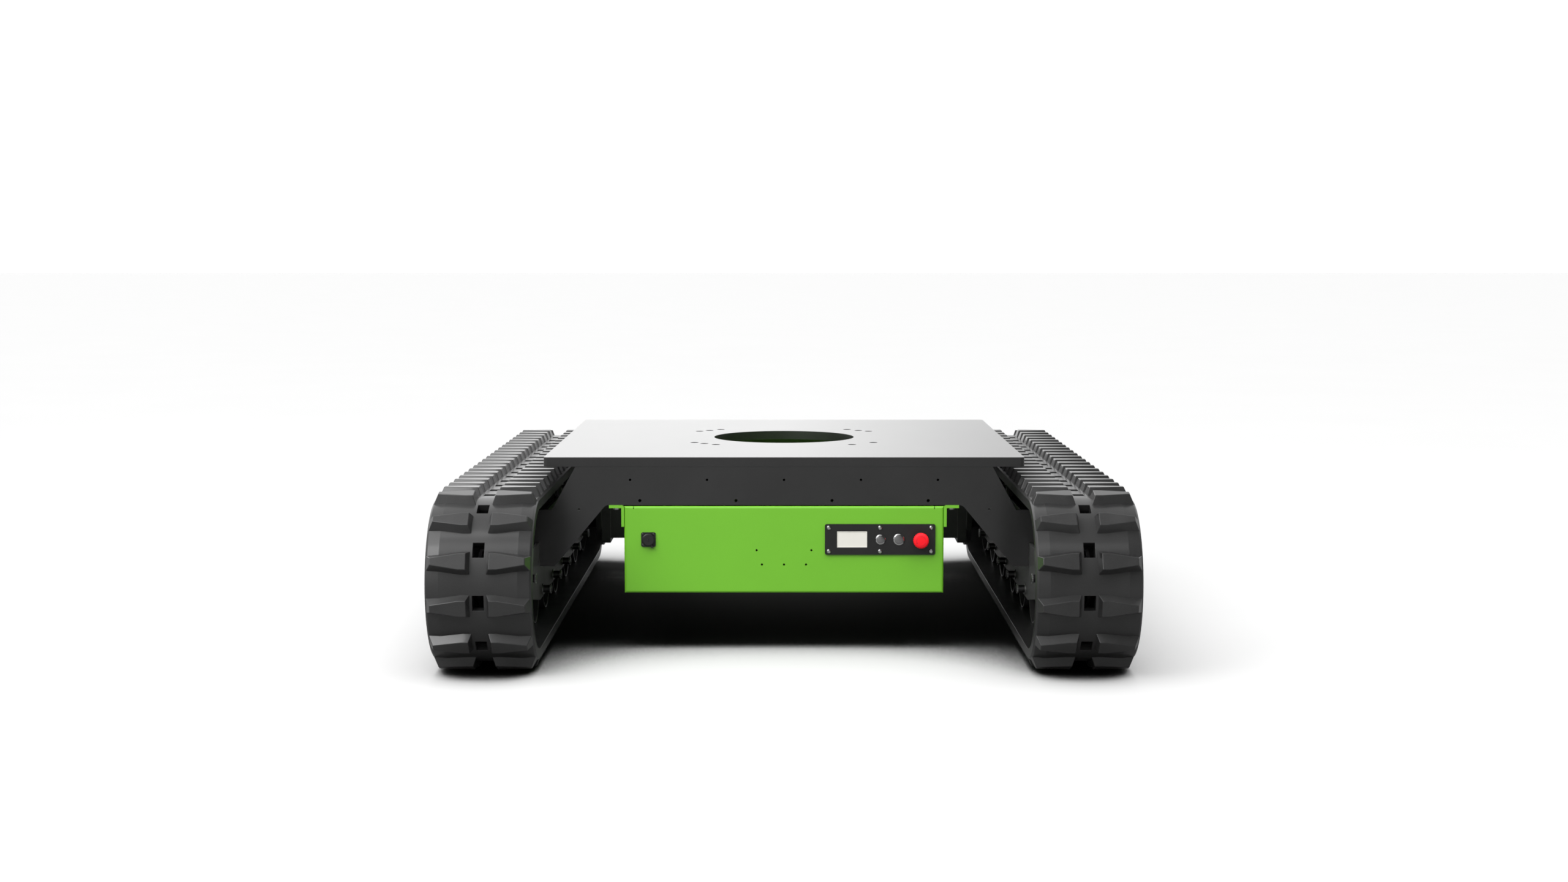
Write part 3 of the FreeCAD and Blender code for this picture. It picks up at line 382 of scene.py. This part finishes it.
def piece(bm, name, looks, body="root", crease=35, edge=0.0, rounds=2):
    """Turn a bmesh into a piece that rides on a body. looks are names in LOOKS.
    """
    bmesh.ops.recalc_face_normals(bm, faces=bm.faces)
    mesh = bpy.data.meshes.new(name)
    bm.to_mesh(mesh)
    bm.free()
    mesh.set_sharp_from_angle(angle=math.radians(crease))
    made = bpy.data.objects.new(name, mesh)
    bpy.context.scene.collection.objects.link(made)
    for look in looks:
        mesh.materials.append(LOOKS[look])
    if edge:
        round_edges(made, edge, rounds)
    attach(made, body)
    return made


def round_edges(thing, width, rounds=2, angle=30):
    bevel = thing.modifiers.new("edges", "BEVEL")
    bevel.width = width
    bevel.segments = rounds
    bevel.limit_method = "ANGLE"
    bevel.angle_limit = math.radians(angle)
    bevel.harden_normals = True
    return bevel


def islands(node):
    """The boxes of a CAD node's separate solids, as (low, high) corners."""
    bm = bmesh.new()
    bm.from_mesh(nodes[node].data)
    bmesh.ops.remove_doubles(bm, verts=bm.verts, dist=1e-6)
    seen, found = set(), []
    for start in bm.verts:
        if start in seen:
            continue
        seen.add(start)
        todo, spots = [start], []
        while todo:
            vert = todo.pop()
            spots.append(vert.co.copy())
            for line in vert.link_edges:
                other = line.other_vert(vert)
                if other not in seen:
                    seen.add(other)
                    todo.append(other)
        found.append((Vector([min(spot[axis] for spot in spots) for axis in range(3)]),
                      Vector([max(spot[axis] for spot in spots) for axis in range(3)])))
    bm.free()
    return found


def dress(node, look, edge=0.0, rounds=2):
    """Give a CAD node its finish and, where edge is set, rounded edges."""
    thing = nodes[node]
    thing.data.materials.clear()
    thing.data.materials.append(LOOKS[look])
    if edge:
        weld = thing.modifiers.new("weld", "WELD")
        weld.merge_threshold = 1e-6
        flat = thing.modifiers.new("flat", "DECIMATE")
        flat.decimate_type = "DISSOLVE"
        flat.angle_limit = math.radians(0.4)
        round_edges(thing, edge, rounds).harden_normals = False
        normals = thing.modifiers.new("normals", "WEIGHTED_NORMAL")
        normals.weight = 100
        normals.keep_sharp = True


# ---- plates, box and frame that keep their CAD shape -----------------------------------------

for node, look, edge in (
        ("deck_plate", "deck_coat", 0.0009), ("portal_plate_front", "deck_coat", 0.0006),
        ("portal_plate_rear", "deck_coat", 0.0006), ("rail_left", "drive_coat", 0.0008),
        ("rail_right", "drive_coat", 0.0008), ("cross_tube_front", "drive_coat", 0.0008),
        ("cross_tube_rear", "drive_coat", 0.0008), ("battery_box", "box_coat", 0.0008),
        ("battery_box_lid", "box_coat", 0.0008), ("hanger_left", "box_coat", 0.0006),
        ("hanger_right", "box_coat", 0.0006), ("battery_pack", "battery_case", 0.004),
        ("motor_controller", "black_plastic", 0.002), ("control_panel", "black_plastic", 0.0005),
        ("charge_socket", "black_plastic", 0.0), ("charge_cap", "black_plastic", 0.0),
        ("estop_stem", "black_plastic", 0.0)):
    dress(node, look, edge)
for side, _ in SIDES:
    for node, look, edge in (
            ("side_plate_inner_", "frame_coat", 0.0005),
             ("side_plate_outer_", "frame_coat", 0.0005),
            ("frame_spacers_", "dark_steel", 0.0), ("gearbox_", "drive_coat", 0.0012),
            ("motor_", "drive_coat", 0.0008), ("sprocket_", "idler_coat", 0.0008)):
        dress(node + side, look, edge)


# ---- belts -----------------------------------------------------------------------------------

BELT_INNER, BELT_OUTER, BELT_SHOULDER, BELT_EDGE = 0.139, 0.164, 0.161, 0.157
BELT_FLAT, BELT_BEND, GROOVE_FLOOR = 0.076, 0.099, 0.151
WINDOW_HALF, WINDOW_REACH = 0.011, 0.015
WINDOWS, LUGS = 42, 52
BRIDGE_STEPS = 6
FIRST_WINDOW, FIRST_LUG = math.radians(27.9), math.radians(18.9)

belt_low, belt_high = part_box("track_belt_left")
BELT_TIP = (belt_high.z - belt_low.z) / 2
BELT_REACH = (belt_high.y - belt_low.y) / 2 - BELT_TIP
BELT_LEVEL = (belt_high.z + belt_low.z) / 2
BELT_HALF = (belt_high.x - belt_low.x) / 2
QUARTER = math.pi * BELT_INNER / 2
RUN = 2 * BELT_REACH
LOOP = 4 * QUARTER + 2 * RUN


def knots(radius):
    """Where the loop changes from bend to straight, on the inner face and at radius."""
    bend = 2 * QUARTER
    inner, outer = [-QUARTER], [-QUARTER * radius / BELT_INNER]
    for span in (bend, RUN, bend, RUN, bend):
        inner.append(inner[-1] + span)
        outer.append(outer[-1] + (span * radius / BELT_INNER if span == bend else span))
    return inner, outer


def convert(distance, source, target):
    """Carry a distance from one list of knots to another."""
    for first, second, low, high in zip(source, source[1:], target, target[1:]):
        if distance <= second:
            break
    return low + (distance - first) * (high - low) / (second - first)


def shifted(distance, offset, radius):
    """The inner-face distance of a point that lies offset further on at radius."""
    inner, outer = knots(radius)
    return convert(convert(distance, inner, outer) + offset, outer, inner)


def on_loop(distance):
    """A frame on the belt loop: its Z points out of the loop and its Y runs along it."""
    distance %= LOOP
    if distance > 3 * QUARTER + 2 * RUN:
        distance -= LOOP
    if distance < QUARTER:
        along, angle = -BELT_REACH, math.pi / 2 - distance / BELT_INNER
    elif distance < QUARTER + RUN:
        along, angle = distance - QUARTER - BELT_REACH, 0
    elif distance < 3 * QUARTER + RUN:
        along, angle = BELT_REACH, -(distance - QUARTER - RUN) / BELT_INNER
    else:
        along, angle = BELT_REACH - (distance - 3 * QUARTER - RUN), math.pi
    return Matrix.Translation((0, along, BELT_LEVEL)) @ Matrix.Rotation(angle, 4, "X")


def belt_band(bm, middle):
    """The belt itself: one ring of skin with a groove inside and a window between lug pairs."""
    section = [(WINDOW_HALF, BELT_OUTER), (BELT_FLAT, BELT_OUTER), (BELT_BEND, BELT_SHOULDER),
               (BELT_HALF, BELT_EDGE), (BELT_HALF, BELT_INNER), (WINDOW_HALF, BELT_INNER),
               (WINDOW_HALF, GROOVE_FLOOR)]
    section += [(-across, radius) for across, radius in reversed(section)]
    count = len(section)
    pitch = LOOP / WINDOWS
    rings = []
    for number in range(WINDOWS):
        centre = FIRST_WINDOW * BELT_INNER + number * pitch
        levels = [radius for _, radius in section]
        starts = {radius: shifted(centre, WINDOW_REACH, radius) for radius in levels}
        ends = {radius: shifted(centre + pitch, -WINDOW_REACH, radius) for radius in levels}
        stations = [{radius: shifted(centre, -WINDOW_REACH, radius) for radius in levels},
                    {radius: centre for radius in levels}, starts]
        for step in range(1, BRIDGE_STEPS):
            share = step / BRIDGE_STEPS
            stations.append({radius: starts[radius] + (ends[radius] - starts[radius]) * share
                             for radius in levels})
        for station in stations:
            ring = []
            for across, radius in section:
                spot = on_loop(station[radius]) @ Vector((across, 0, radius))
                ring.append(bm.verts.new(spot + Vector((middle, 0, 0))))
            rings.append(ring)
    per_window = BRIDGE_STEPS + 2
    # section points that stand on the window's edge: the outer pair and the groove's four
    top = (0, count - 1)
    groove = (5, 6, 7, 8)
    for number, ring in enumerate(rings):
        following = rings[(number + 1) % len(rings)]
        in_window = number % per_window < 2
        for point in range(count):
            after = (point + 1) % count
            opened = point == count - 1 or point in groove[:3]
            if in_window and opened:
                continue
            bm.faces.new((ring[point], ring[after], following[after], following[point]))
        if in_window:
            for upper, lower in ((top[0], groove[0]), (top[1], groove[3])):
                bm.faces.new((ring[upper], ring[lower], following[lower], following[upper]))
        if number % per_window in (0, 2):
            bm.faces.new([ring[point] for point in (top[1], top[0], *groove)])


def lug_ring(bm, frame_at, way, middle, inner, outer, long_in, long_out, radius):
    """Six corners of a lug at one height: square inner part, narrowing to its outer end."""
    turn = inner + LUG_SQUARE * (outer - inner)
    half = [(inner, long_in / 2), (turn, long_in / 2), (outer, long_out / 2)]
    corners = half + [(across, -along) for across, along in reversed(half)]
    ring = []
    for across, along in corners:
        spot = frame_at @ Vector((way * across, along, radius))
        ring.append(bm.verts.new(spot + Vector((middle, 0, 0))))
    return ring


# inner end, outer end, length at the inner end, length at the outer end
LUG_TOP = (0.0220, 0.0914, 0.0320, 0.0140)
LUG_BASE = (0.0164, 0.0984, 0.0440, 0.0260)
LUG_ROOT = -0.35
LUG_SQUARE = 0.21


def belt_lugs(bm, middle):
    """Pairs of lugs round the loop, rooted a little inside the belt."""
    for number in range(LUGS):
        frame_at = on_loop(FIRST_LUG * BELT_INNER + number * LOOP / LUGS)
        for way in (-1, 1):
            rings = []
            for share in (LUG_ROOT, 1.0):
                sizes = [low + (high - low) * share for low, high in zip(LUG_BASE, LUG_TOP)]
                radius = BELT_OUTER + (BELT_TIP - BELT_OUTER) * share
                rings.append(lug_ring(bm, frame_at, way, middle, *sizes, radius))
            skin(bm, *rings)
            for ring in rings:
                bm.faces.new(ring)


for side, _ in SIDES:
    low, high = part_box("track_belt_" + side)
    middle = (low.x + high.x) / 2
    bm = bmesh.new()
    belt_band(bm, middle)
    band = piece(bm, "belt_band_" + side, ["belt_rubber"], edge=0.0009, crease=6)
    bm = bmesh.new()
    belt_lugs(bm, middle)
    piece(bm, "belt_lugs_" + side, ["lug_rubber"], edge=0.0013, crease=20)
    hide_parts("track_belt_" + side)


# ---- wheels ----------------------------------------------------------------------------------

RIM_WALL, WHEEL_WEB, WHEEL_BORE = 3.5, 5, 10.05
ROAD_HUB, CARRIER_HUB = 22, 20


def wheel_outline(half, radius, hub, bore):
    """A drum's section: crowned rim with rounded lips, middle web and a stepped hub."""
    rim = radius - RIM_WALL
    side = [(half, rim + 0.8), (half - 0.8, rim), (WHEEL_WEB + 4, rim), (WHEEL_WEB, rim - 4),
            (WHEEL_WEB, hub + 4), (WHEEL_WEB + 4, hub), (half - 1, hub), (half, hub - 1),
            (half, bore + 1), (half - 1, bore)]
    tread = [(-half, radius - 1), (-half + 1, radius), (half - 1, radius), (half, radius - 1)]
    return tread + side + [(-along, reach) for along, reach in reversed(side)]


def wheel(node, hub):
    """A rubber drum whose rim ends carry a light zinc steel finish, partly a painted highlight
    that stands in for the bright arcs of light on the rim edges.
    """
    low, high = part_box(node)
    centre = (low + high) / 2
    half = (high.x - low.x) / 2 / MM
    radius = (high.z - low.z) / 2 / MM
    bm = bmesh.new()
    spin(bm, wheel_outline(half, radius, hub, WHEEL_BORE), centre, (1, 0, 0), 96)
    # Painted highlight: the rim-end faces take the light steel finish, so the rim edges read as
    # thin bright arcs.
    for face in bm.faces:
        at = face.calc_center_median() - centre
        on_end = abs(abs(at.x) / MM - half) < 0.1
        if on_end and math.hypot(at.y, at.z) / MM > radius - RIM_WALL:
            face.material_index = 1
    made = piece(bm, node + "_drum", ["roller_rubber", "zinc_steel"], node, crease=28)
    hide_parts(node)


for side, _ in SIDES:
    for number in range(1, WHEELS + 1):
        wheel("road_wheel_%s_%d" % (side, number), ROAD_HUB)
    wheel("carrier_roller_" + side, CARRIER_HUB)
    dress("idler_" + side, "idler_coat", 0.0008)


# ---- fasteners -------------------------------------------------------------------------------

def washer(bm, origin, axis, bore, radius, thick):
    spin(bm, [(0, bore), (0, radius - 0.3), (0.3, radius), (thick - 0.3, radius),
              (thick, radius - 0.3), (thick, bore)], origin, axis, 48)


def hanger_bolts():
    """M8 bolts from below, head and washer together 5.3 mm high."""
    bm = bmesh.new()
    height, thick = 5.3, 1.4
    for low, high in islands("hanger_bolts"):
        centre = (low + high) / 2
        under = Vector((centre.x, centre.y, low.z + height * MM))
        washer(bm, under, (0, 0, -1), 3.9, 8, thick)
        hex_head(bm, under - Vector((0, 0, thick * MM)), (0, 0, -1), 13, height - thick)
        spin(bm, [(0, 0), (0, 3.9), (15.4, 3.9), (16, 3.3), (16, 0)], under, (0, 0, 1), 32)
    made = piece(bm, "hanger_bolt_set", ["zinc_steel"])
    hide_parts("hanger_bolts")


def frame_bolts():
    """M12 bolts through the side plates, heads facing away from the middle of their track."""
    bm = bmesh.new()
    height, thick = 7.5, 1.6
    for low, high in islands("track_frame_bolts"):
        centre = (low + high) / 2
        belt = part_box("track_belt_" + ("left" if centre.x < 0 else "right"))
        middle = (belt[0].x + belt[1].x) / 2
        out = 1 if centre.x > middle else -1
        head_end = high.x if out > 0 else low.x
        under = Vector((head_end - out * height * MM, centre.y, centre.z))
        washer(bm, under, (out, 0, 0), 5.9, 10.2, thick)
        hex_head(bm, under + Vector((out * thick * MM, 0, 0)), (out, 0, 0), 18, height - thick)
        spin(bm, [(0, 0), (0, 5.9), (30, 5.9), (30, 0)], under, (-out, 0, 0), 32)
    made = piece(bm, "track_frame_bolt_set", ["zinc_steel"])
    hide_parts("track_frame_bolts")


def axles(side):
    """Fixed axles with a turned-down, chamfered end on each side."""
    bm = bmesh.new()
    for low, high in islands("wheel_axles_" + side):
        centre = (low + high) / 2
        half = (high.x - low.x) / 2 / MM
        rise = half - 20.2
        side_points = [(half, 0), (half, 6.6), (half - 0.2, 7.2), (half - 0.9, 8), (rise, 8),
                       (rise, 9.2), (rise - 0.8, 10)]
        outline = side_points + [(-along, reach) for along, reach in reversed(side_points)]
        spin(bm, outline, centre, (1, 0, 0), 48, closed=False)
    made = piece(bm, "wheel_axle_set_" + side, ["dark_steel"])
    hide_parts("wheel_axles_" + side)


def toothed_nut(bm, origin, axis, bore, radius, thick, teeth=14):
    """A thin lock nut with teeth round its rim."""
    steps = teeth * 8

    def ripple(point, angle):
        if point not in (1, 2, 3, 4):
            return 1
        wave = math.cos(angle * teeth)
        return 1 - 0.07 * max(0.0, min(1.0, 0.5 - 1.6 * wave))

    outline = [(0, bore), (0, radius - 0.4), (0.4, radius), (thick - 0.4, radius),
               (thick, radius - 0.4), (thick, bore)]
    spin(bm, outline, origin, axis, steps, ripple=ripple)


def axle_nuts(side):
    """Plain washers where the node's solid is thin, toothed nuts where it is thick."""
    bm = bmesh.new()
    for low, high in islands("axle_nuts_" + side):
        thick = (high.x - low.x) / MM
        centre = (low + high) / 2
        start = Vector((low.x, centre.y, centre.z))
        radius = (high.z - low.z) / 2 / MM
        if thick < 3:
            washer(bm, start, (1, 0, 0), 8.0, radius, thick)
        else:
            toothed_nut(bm, start, (1, 0, 0), 8.0, 10.2, thick)
    made = piece(bm, "axle_nut_set_" + side, ["zinc_steel"])
    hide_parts("axle_nuts_" + side)


hanger_bolts()
frame_bolts()
for side, _ in SIDES:
    axles(side)
    axle_nuts(side)


# ---- control panel ---------------------------------------------------------------------------

panel_low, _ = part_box("control_panel")
PANEL_FACE = panel_low.y
FORWARD = (0, -1, 0)


def panel_screws():
    """Round M5 screw heads with hexagon sockets."""
    bm = bmesh.new()
    for low, high in islands("panel_screws"):
        centre = (low + high) / 2
        spot = Vector((centre.x, PANEL_FACE, centre.z))
        head = [(0, 4.75), (0.3, 4.75), (0.9, 4.6), (1.5, 4.15), (2.05, 3.5), (2.45, 2.85),
                (2.65, 2.3), (2.7, 1.9)]
        socket_head(bm, spot, FORWARD, head, 1.25, 1.5)
        spin(bm, [(0, 0), (0, 2.4), (14, 2.4), (14, 0)], spot, (0, 1, 0), 32, closed=False)
    made = piece(bm, "panel_screw_set", ["polished_steel"])
    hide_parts("panel_screws")


DISPLAY_ACROSS, DISPLAY_TALL = 0.0311, 0.0168
DISPLAY_SINK, DISPLAY_RIM, GLASS_SINK, DISPLAY_DEEP = 0.0002, 0.0012, 0.0006, 0.006


def display():
    """The part of the display that fills the panel's window: a narrow rim and a sunk screen."""
    low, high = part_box("display_module")
    bm = bmesh.new()
    face = PANEL_FACE + DISPLAY_SINK
    middle = (low + high) / 2

    def ring(shrink, depth):
        wide, rise = DISPLAY_ACROSS - shrink, DISPLAY_TALL - shrink
        return [bm.verts.new((middle.x + sx * wide, face + depth, middle.z + sz * rise))
                for sx, sz in ((-1, -1), (1, -1), (1, 1), (-1, 1))]

    back = ring(0, DISPLAY_DEEP)
    edge = ring(0, 0)
    step = ring(DISPLAY_RIM, 0)
    glass = ring(DISPLAY_RIM, GLASS_SINK)
    for first, second in ((back, edge), (edge, step), (step, glass)):
        skin(bm, first, second)
    bm.faces.new(glass).material_index = 1
    bm.faces.new(back[::-1])
    made = piece(bm, "display_front", ["screen", "screen"])
    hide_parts("display_module")


def button(name, bezel, cap):
    """A metal push button: polished bevelled ring and a flat brushed cap in its bore."""
    low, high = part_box(name + "_button_body")
    centre = Vector(((low.x + high.x) / 2, PANEL_FACE, (low.z + high.z) / 2))
    bm = bmesh.new()
    gap = 0.12
    spin(bm, [(-6, cap + gap), (2.2, cap + gap), (2.5, cap + gap + 0.25), (2.35, cap + gap + 0.9),
              (1.5, bezel - 0.9), (0.7, bezel - 0.15), (0.3, bezel), (0, bezel), (0, bezel - 1.5),
              (-30, bezel - 1.5), (-30, 0), (-6, 0)], centre, FORWARD, 96, closed=False)
    made = piece(bm, name + "_button_bezel", ["polished_steel"], crease=40)
    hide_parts(name + "_button_body")
    bm = bmesh.new()
    spin(bm, [(-3.5, 0), (-3.5, cap), (2.6, cap), (3.1, cap - 0.25), (3.3, cap - 0.8), (3.4, 0)],
         centre, FORWARD, 96, closed=False)
    top = piece(bm, name + "_button_top", ["brushed_steel"], name + "_button_cap", crease=40)
    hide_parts(name + "_button_cap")


def emergency_stop():
    """A black collar and a red mushroom head with fine teeth round its rim."""
    low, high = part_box("estop_head")
    centre = Vector(((low.x + high.x) / 2, PANEL_FACE, (low.z + high.z) / 2))
    bm = bmesh.new()
    spin(bm, [(-40, 0), (-40, 11), (0, 11), (0, 14.5), (4.2, 14.5), (5.4, 14.0), (6, 13.0),
              (6, 7.95), (-12, 7.95), (-12, 0)], centre, FORWARD, 96, closed=False)
    made = piece(bm, "estop_collar", ["black_plastic"], crease=40)
    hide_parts("estop_body")

    teeth = 24
    rim = range(3, 9)

    def ripple(point, angle):
        if point not in rim:
            return 1
        wave = math.cos(angle * teeth)
        return 1 - 0.045 * max(0.0, min(1.0, -0.2 - 1.3 * wave))

    outline = [(14, 5.05), (14, 11.5), (16, 13), (16, 15.4), (16.4, 16.0), (17, 16.2), (22, 16.2),
               (25, 16.2), (26.6, 15.9), (28, 15.1), (29.1, 13.8), (29.8, 12.0), (30.2, 9.0),
               (30.4, 5.0), (30.5, 0), (24.6, 0), (24.6, 5.05)]
    bm = bmesh.new()
    spin(bm, outline, centre, FORWARD, teeth * 10, closed=False, ripple=ripple)
    made = piece(bm, "estop_mushroom", ["red_plastic"], "estop_head", crease=40)
    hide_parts("estop_head")
    estop_arrows(centre)


ARROWS, ARROW_STEPS = 3, 14
ARROW_START, ARROW_SWEEP, ARROW_TIP = math.radians(20), math.radians(62), math.radians(20)
ARROW_ROOT, ARROW_RISE = -0.3, 0.05
ARROW_INNER, ARROW_OUTER = 9.1, 10.1
BARB_INNER, BARB_MIDDLE, BARB_OUTER = 8.2, 9.6, 11.0
HEAD_TOP, HEAD_FALL = 30.5, 0.5


def estop_arrows(centre):
    """Three curved arrows on the head that show which way it turns to release."""
    bm = bmesh.new()

    def spot(radius, angle, lift):
        height = HEAD_TOP - HEAD_FALL * (radius / BARB_OUTER) ** 2 + lift
        return centre + Vector((radius * math.cos(angle) * MM, -height * MM,
                                radius * math.sin(angle) * MM))

    section = ((ARROW_INNER, ARROW_ROOT), (ARROW_INNER, ARROW_RISE),
               (ARROW_OUTER, ARROW_RISE), (ARROW_OUTER, ARROW_ROOT))
    for number in range(ARROWS):
        start = 2 * math.pi * number / ARROWS + ARROW_START
        base = start + ARROW_SWEEP
        strip = []
        for step in range(ARROW_STEPS + 1):
            angle = start + ARROW_SWEEP * step / ARROW_STEPS
            strip.append([bm.verts.new(spot(reach, angle, lift)) for reach, lift in section])
        for first, second in zip(strip, strip[1:]):
            skin(bm, first, second)
        bm.faces.new(strip[0])
        bm.faces.new(strip[-1][::-1])
        barb = ((BARB_INNER, base), (BARB_OUTER, base), (BARB_MIDDLE, base + ARROW_TIP))
        lower, upper = ([bm.verts.new(spot(reach, angle, lift)) for reach, angle in barb]
                        for lift in (ARROW_ROOT, ARROW_RISE))
        skin(bm, lower, upper)
        bm.faces.new(upper)
        bm.faces.new(lower[::-1])
    piece(bm, "estop_arrows", ["red_mark"], "estop_head")


def socket_screws():
    """Small M3 screws in the socket's flange."""
    bm = bmesh.new()
    shank = 9
    head = [(0, 2.6), (0.3, 2.6), (0.7, 2.3), (0.9, 1.8), (0.9, 1.2)]
    for low, high in islands("charge_socket_screws"):
        centre = (low + high) / 2
        spot = Vector((centre.x, high.y - shank * MM, centre.z))
        socket_head(bm, spot, FORWARD, head, 0.75, 0.6)
        spin(bm, [(0, 0), (0, 1.45), (shank, 1.45), (shank, 0)], spot, (0, 1, 0), 24, closed=False)
    made = piece(bm, "charge_socket_screw_set", ["dark_steel"])
    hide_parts("charge_socket_screws")


panel_screws()
display()
button("power", 11, 7.5)
button("start", 12.5, 9)
emergency_stop()
socket_screws()


# ---- floor -----------------------------------------------------------------------------------

FLOOR_SIZE = 60
# Reach and ambient-occlusion levels of the painted shadow on the floor, the near-black grey inside
# it, and the grey that bounced light sees.
SHADE_REACH = 1.2
DARK_SKY, OPEN_SKY = 0.26, 0.50
PAINTED_SHADOW_GREY, BOUNCING_FLOOR = 0.002, 0.13


def paint_floor_shadow(tree):
    """The floor is pale, with a painted shadow: ambient occlusion darkens its colour under and
    near the object. It sends only a little light back up.
    """
    shader = tree.nodes["Principled BSDF"]
    # Painted shadow: the floor's colour fades to near black where ambient occlusion finds the
    # object close above.
    open_sky = put(tree, "ShaderNodeAmbientOcclusion", samples=12)
    open_sky.inputs["Distance"].default_value = SHADE_REACH
    depth = put(tree, "ShaderNodeMapRange", interpolation_type="SMOOTHSTEP")
    depth.inputs["From Min"].default_value = DARK_SKY
    depth.inputs["From Max"].default_value = OPEN_SKY
    tree.links.new(open_sky.outputs["AO"], depth.inputs["Value"])
    painted_shadow = put(tree, "ShaderNodeMix", data_type="RGBA")
    painted_shadow.inputs["A"].default_value = (*grey(PAINTED_SHADOW_GREY), 1)
    tree.links.new(depth.outputs["Result"], painted_shadow.inputs["Factor"])
    tree.links.new(shader.inputs["Base Color"].links[0].from_socket, painted_shadow.inputs["B"])
    pale = painted_shadow.outputs["Result"]
    # Camera rays see the pale floor with its painted shadow; all other rays see a darker grey, so
    # little light bounces up.
    path = put(tree, "ShaderNodeLightPath")
    mix = put(tree, "ShaderNodeMix", data_type="RGBA")
    mix.inputs["A"].default_value = (*grey(BOUNCING_FLOOR), 1)
    tree.links.new(pale, mix.inputs["B"])
    tree.links.new(path.outputs["Is Camera Ray"], mix.inputs["Factor"])
    tree.links.new(mix.outputs["Result"], shader.inputs["Base Color"])


bm = bmesh.new()
bmesh.ops.create_grid(bm, x_segments=2, y_segments=2, size=FLOOR_SIZE)
floor_mesh = bpy.data.meshes.new("floor")
bm.to_mesh(floor_mesh)
bm.free()
floor_mesh.materials.append(LOOKS["floor_paint"])
paint_floor_shadow(LOOKS["floor_paint"].node_tree)
floor = bpy.data.objects.new("floor", floor_mesh)
bpy.context.scene.collection.objects.link(floor)
floor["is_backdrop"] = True


low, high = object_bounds()
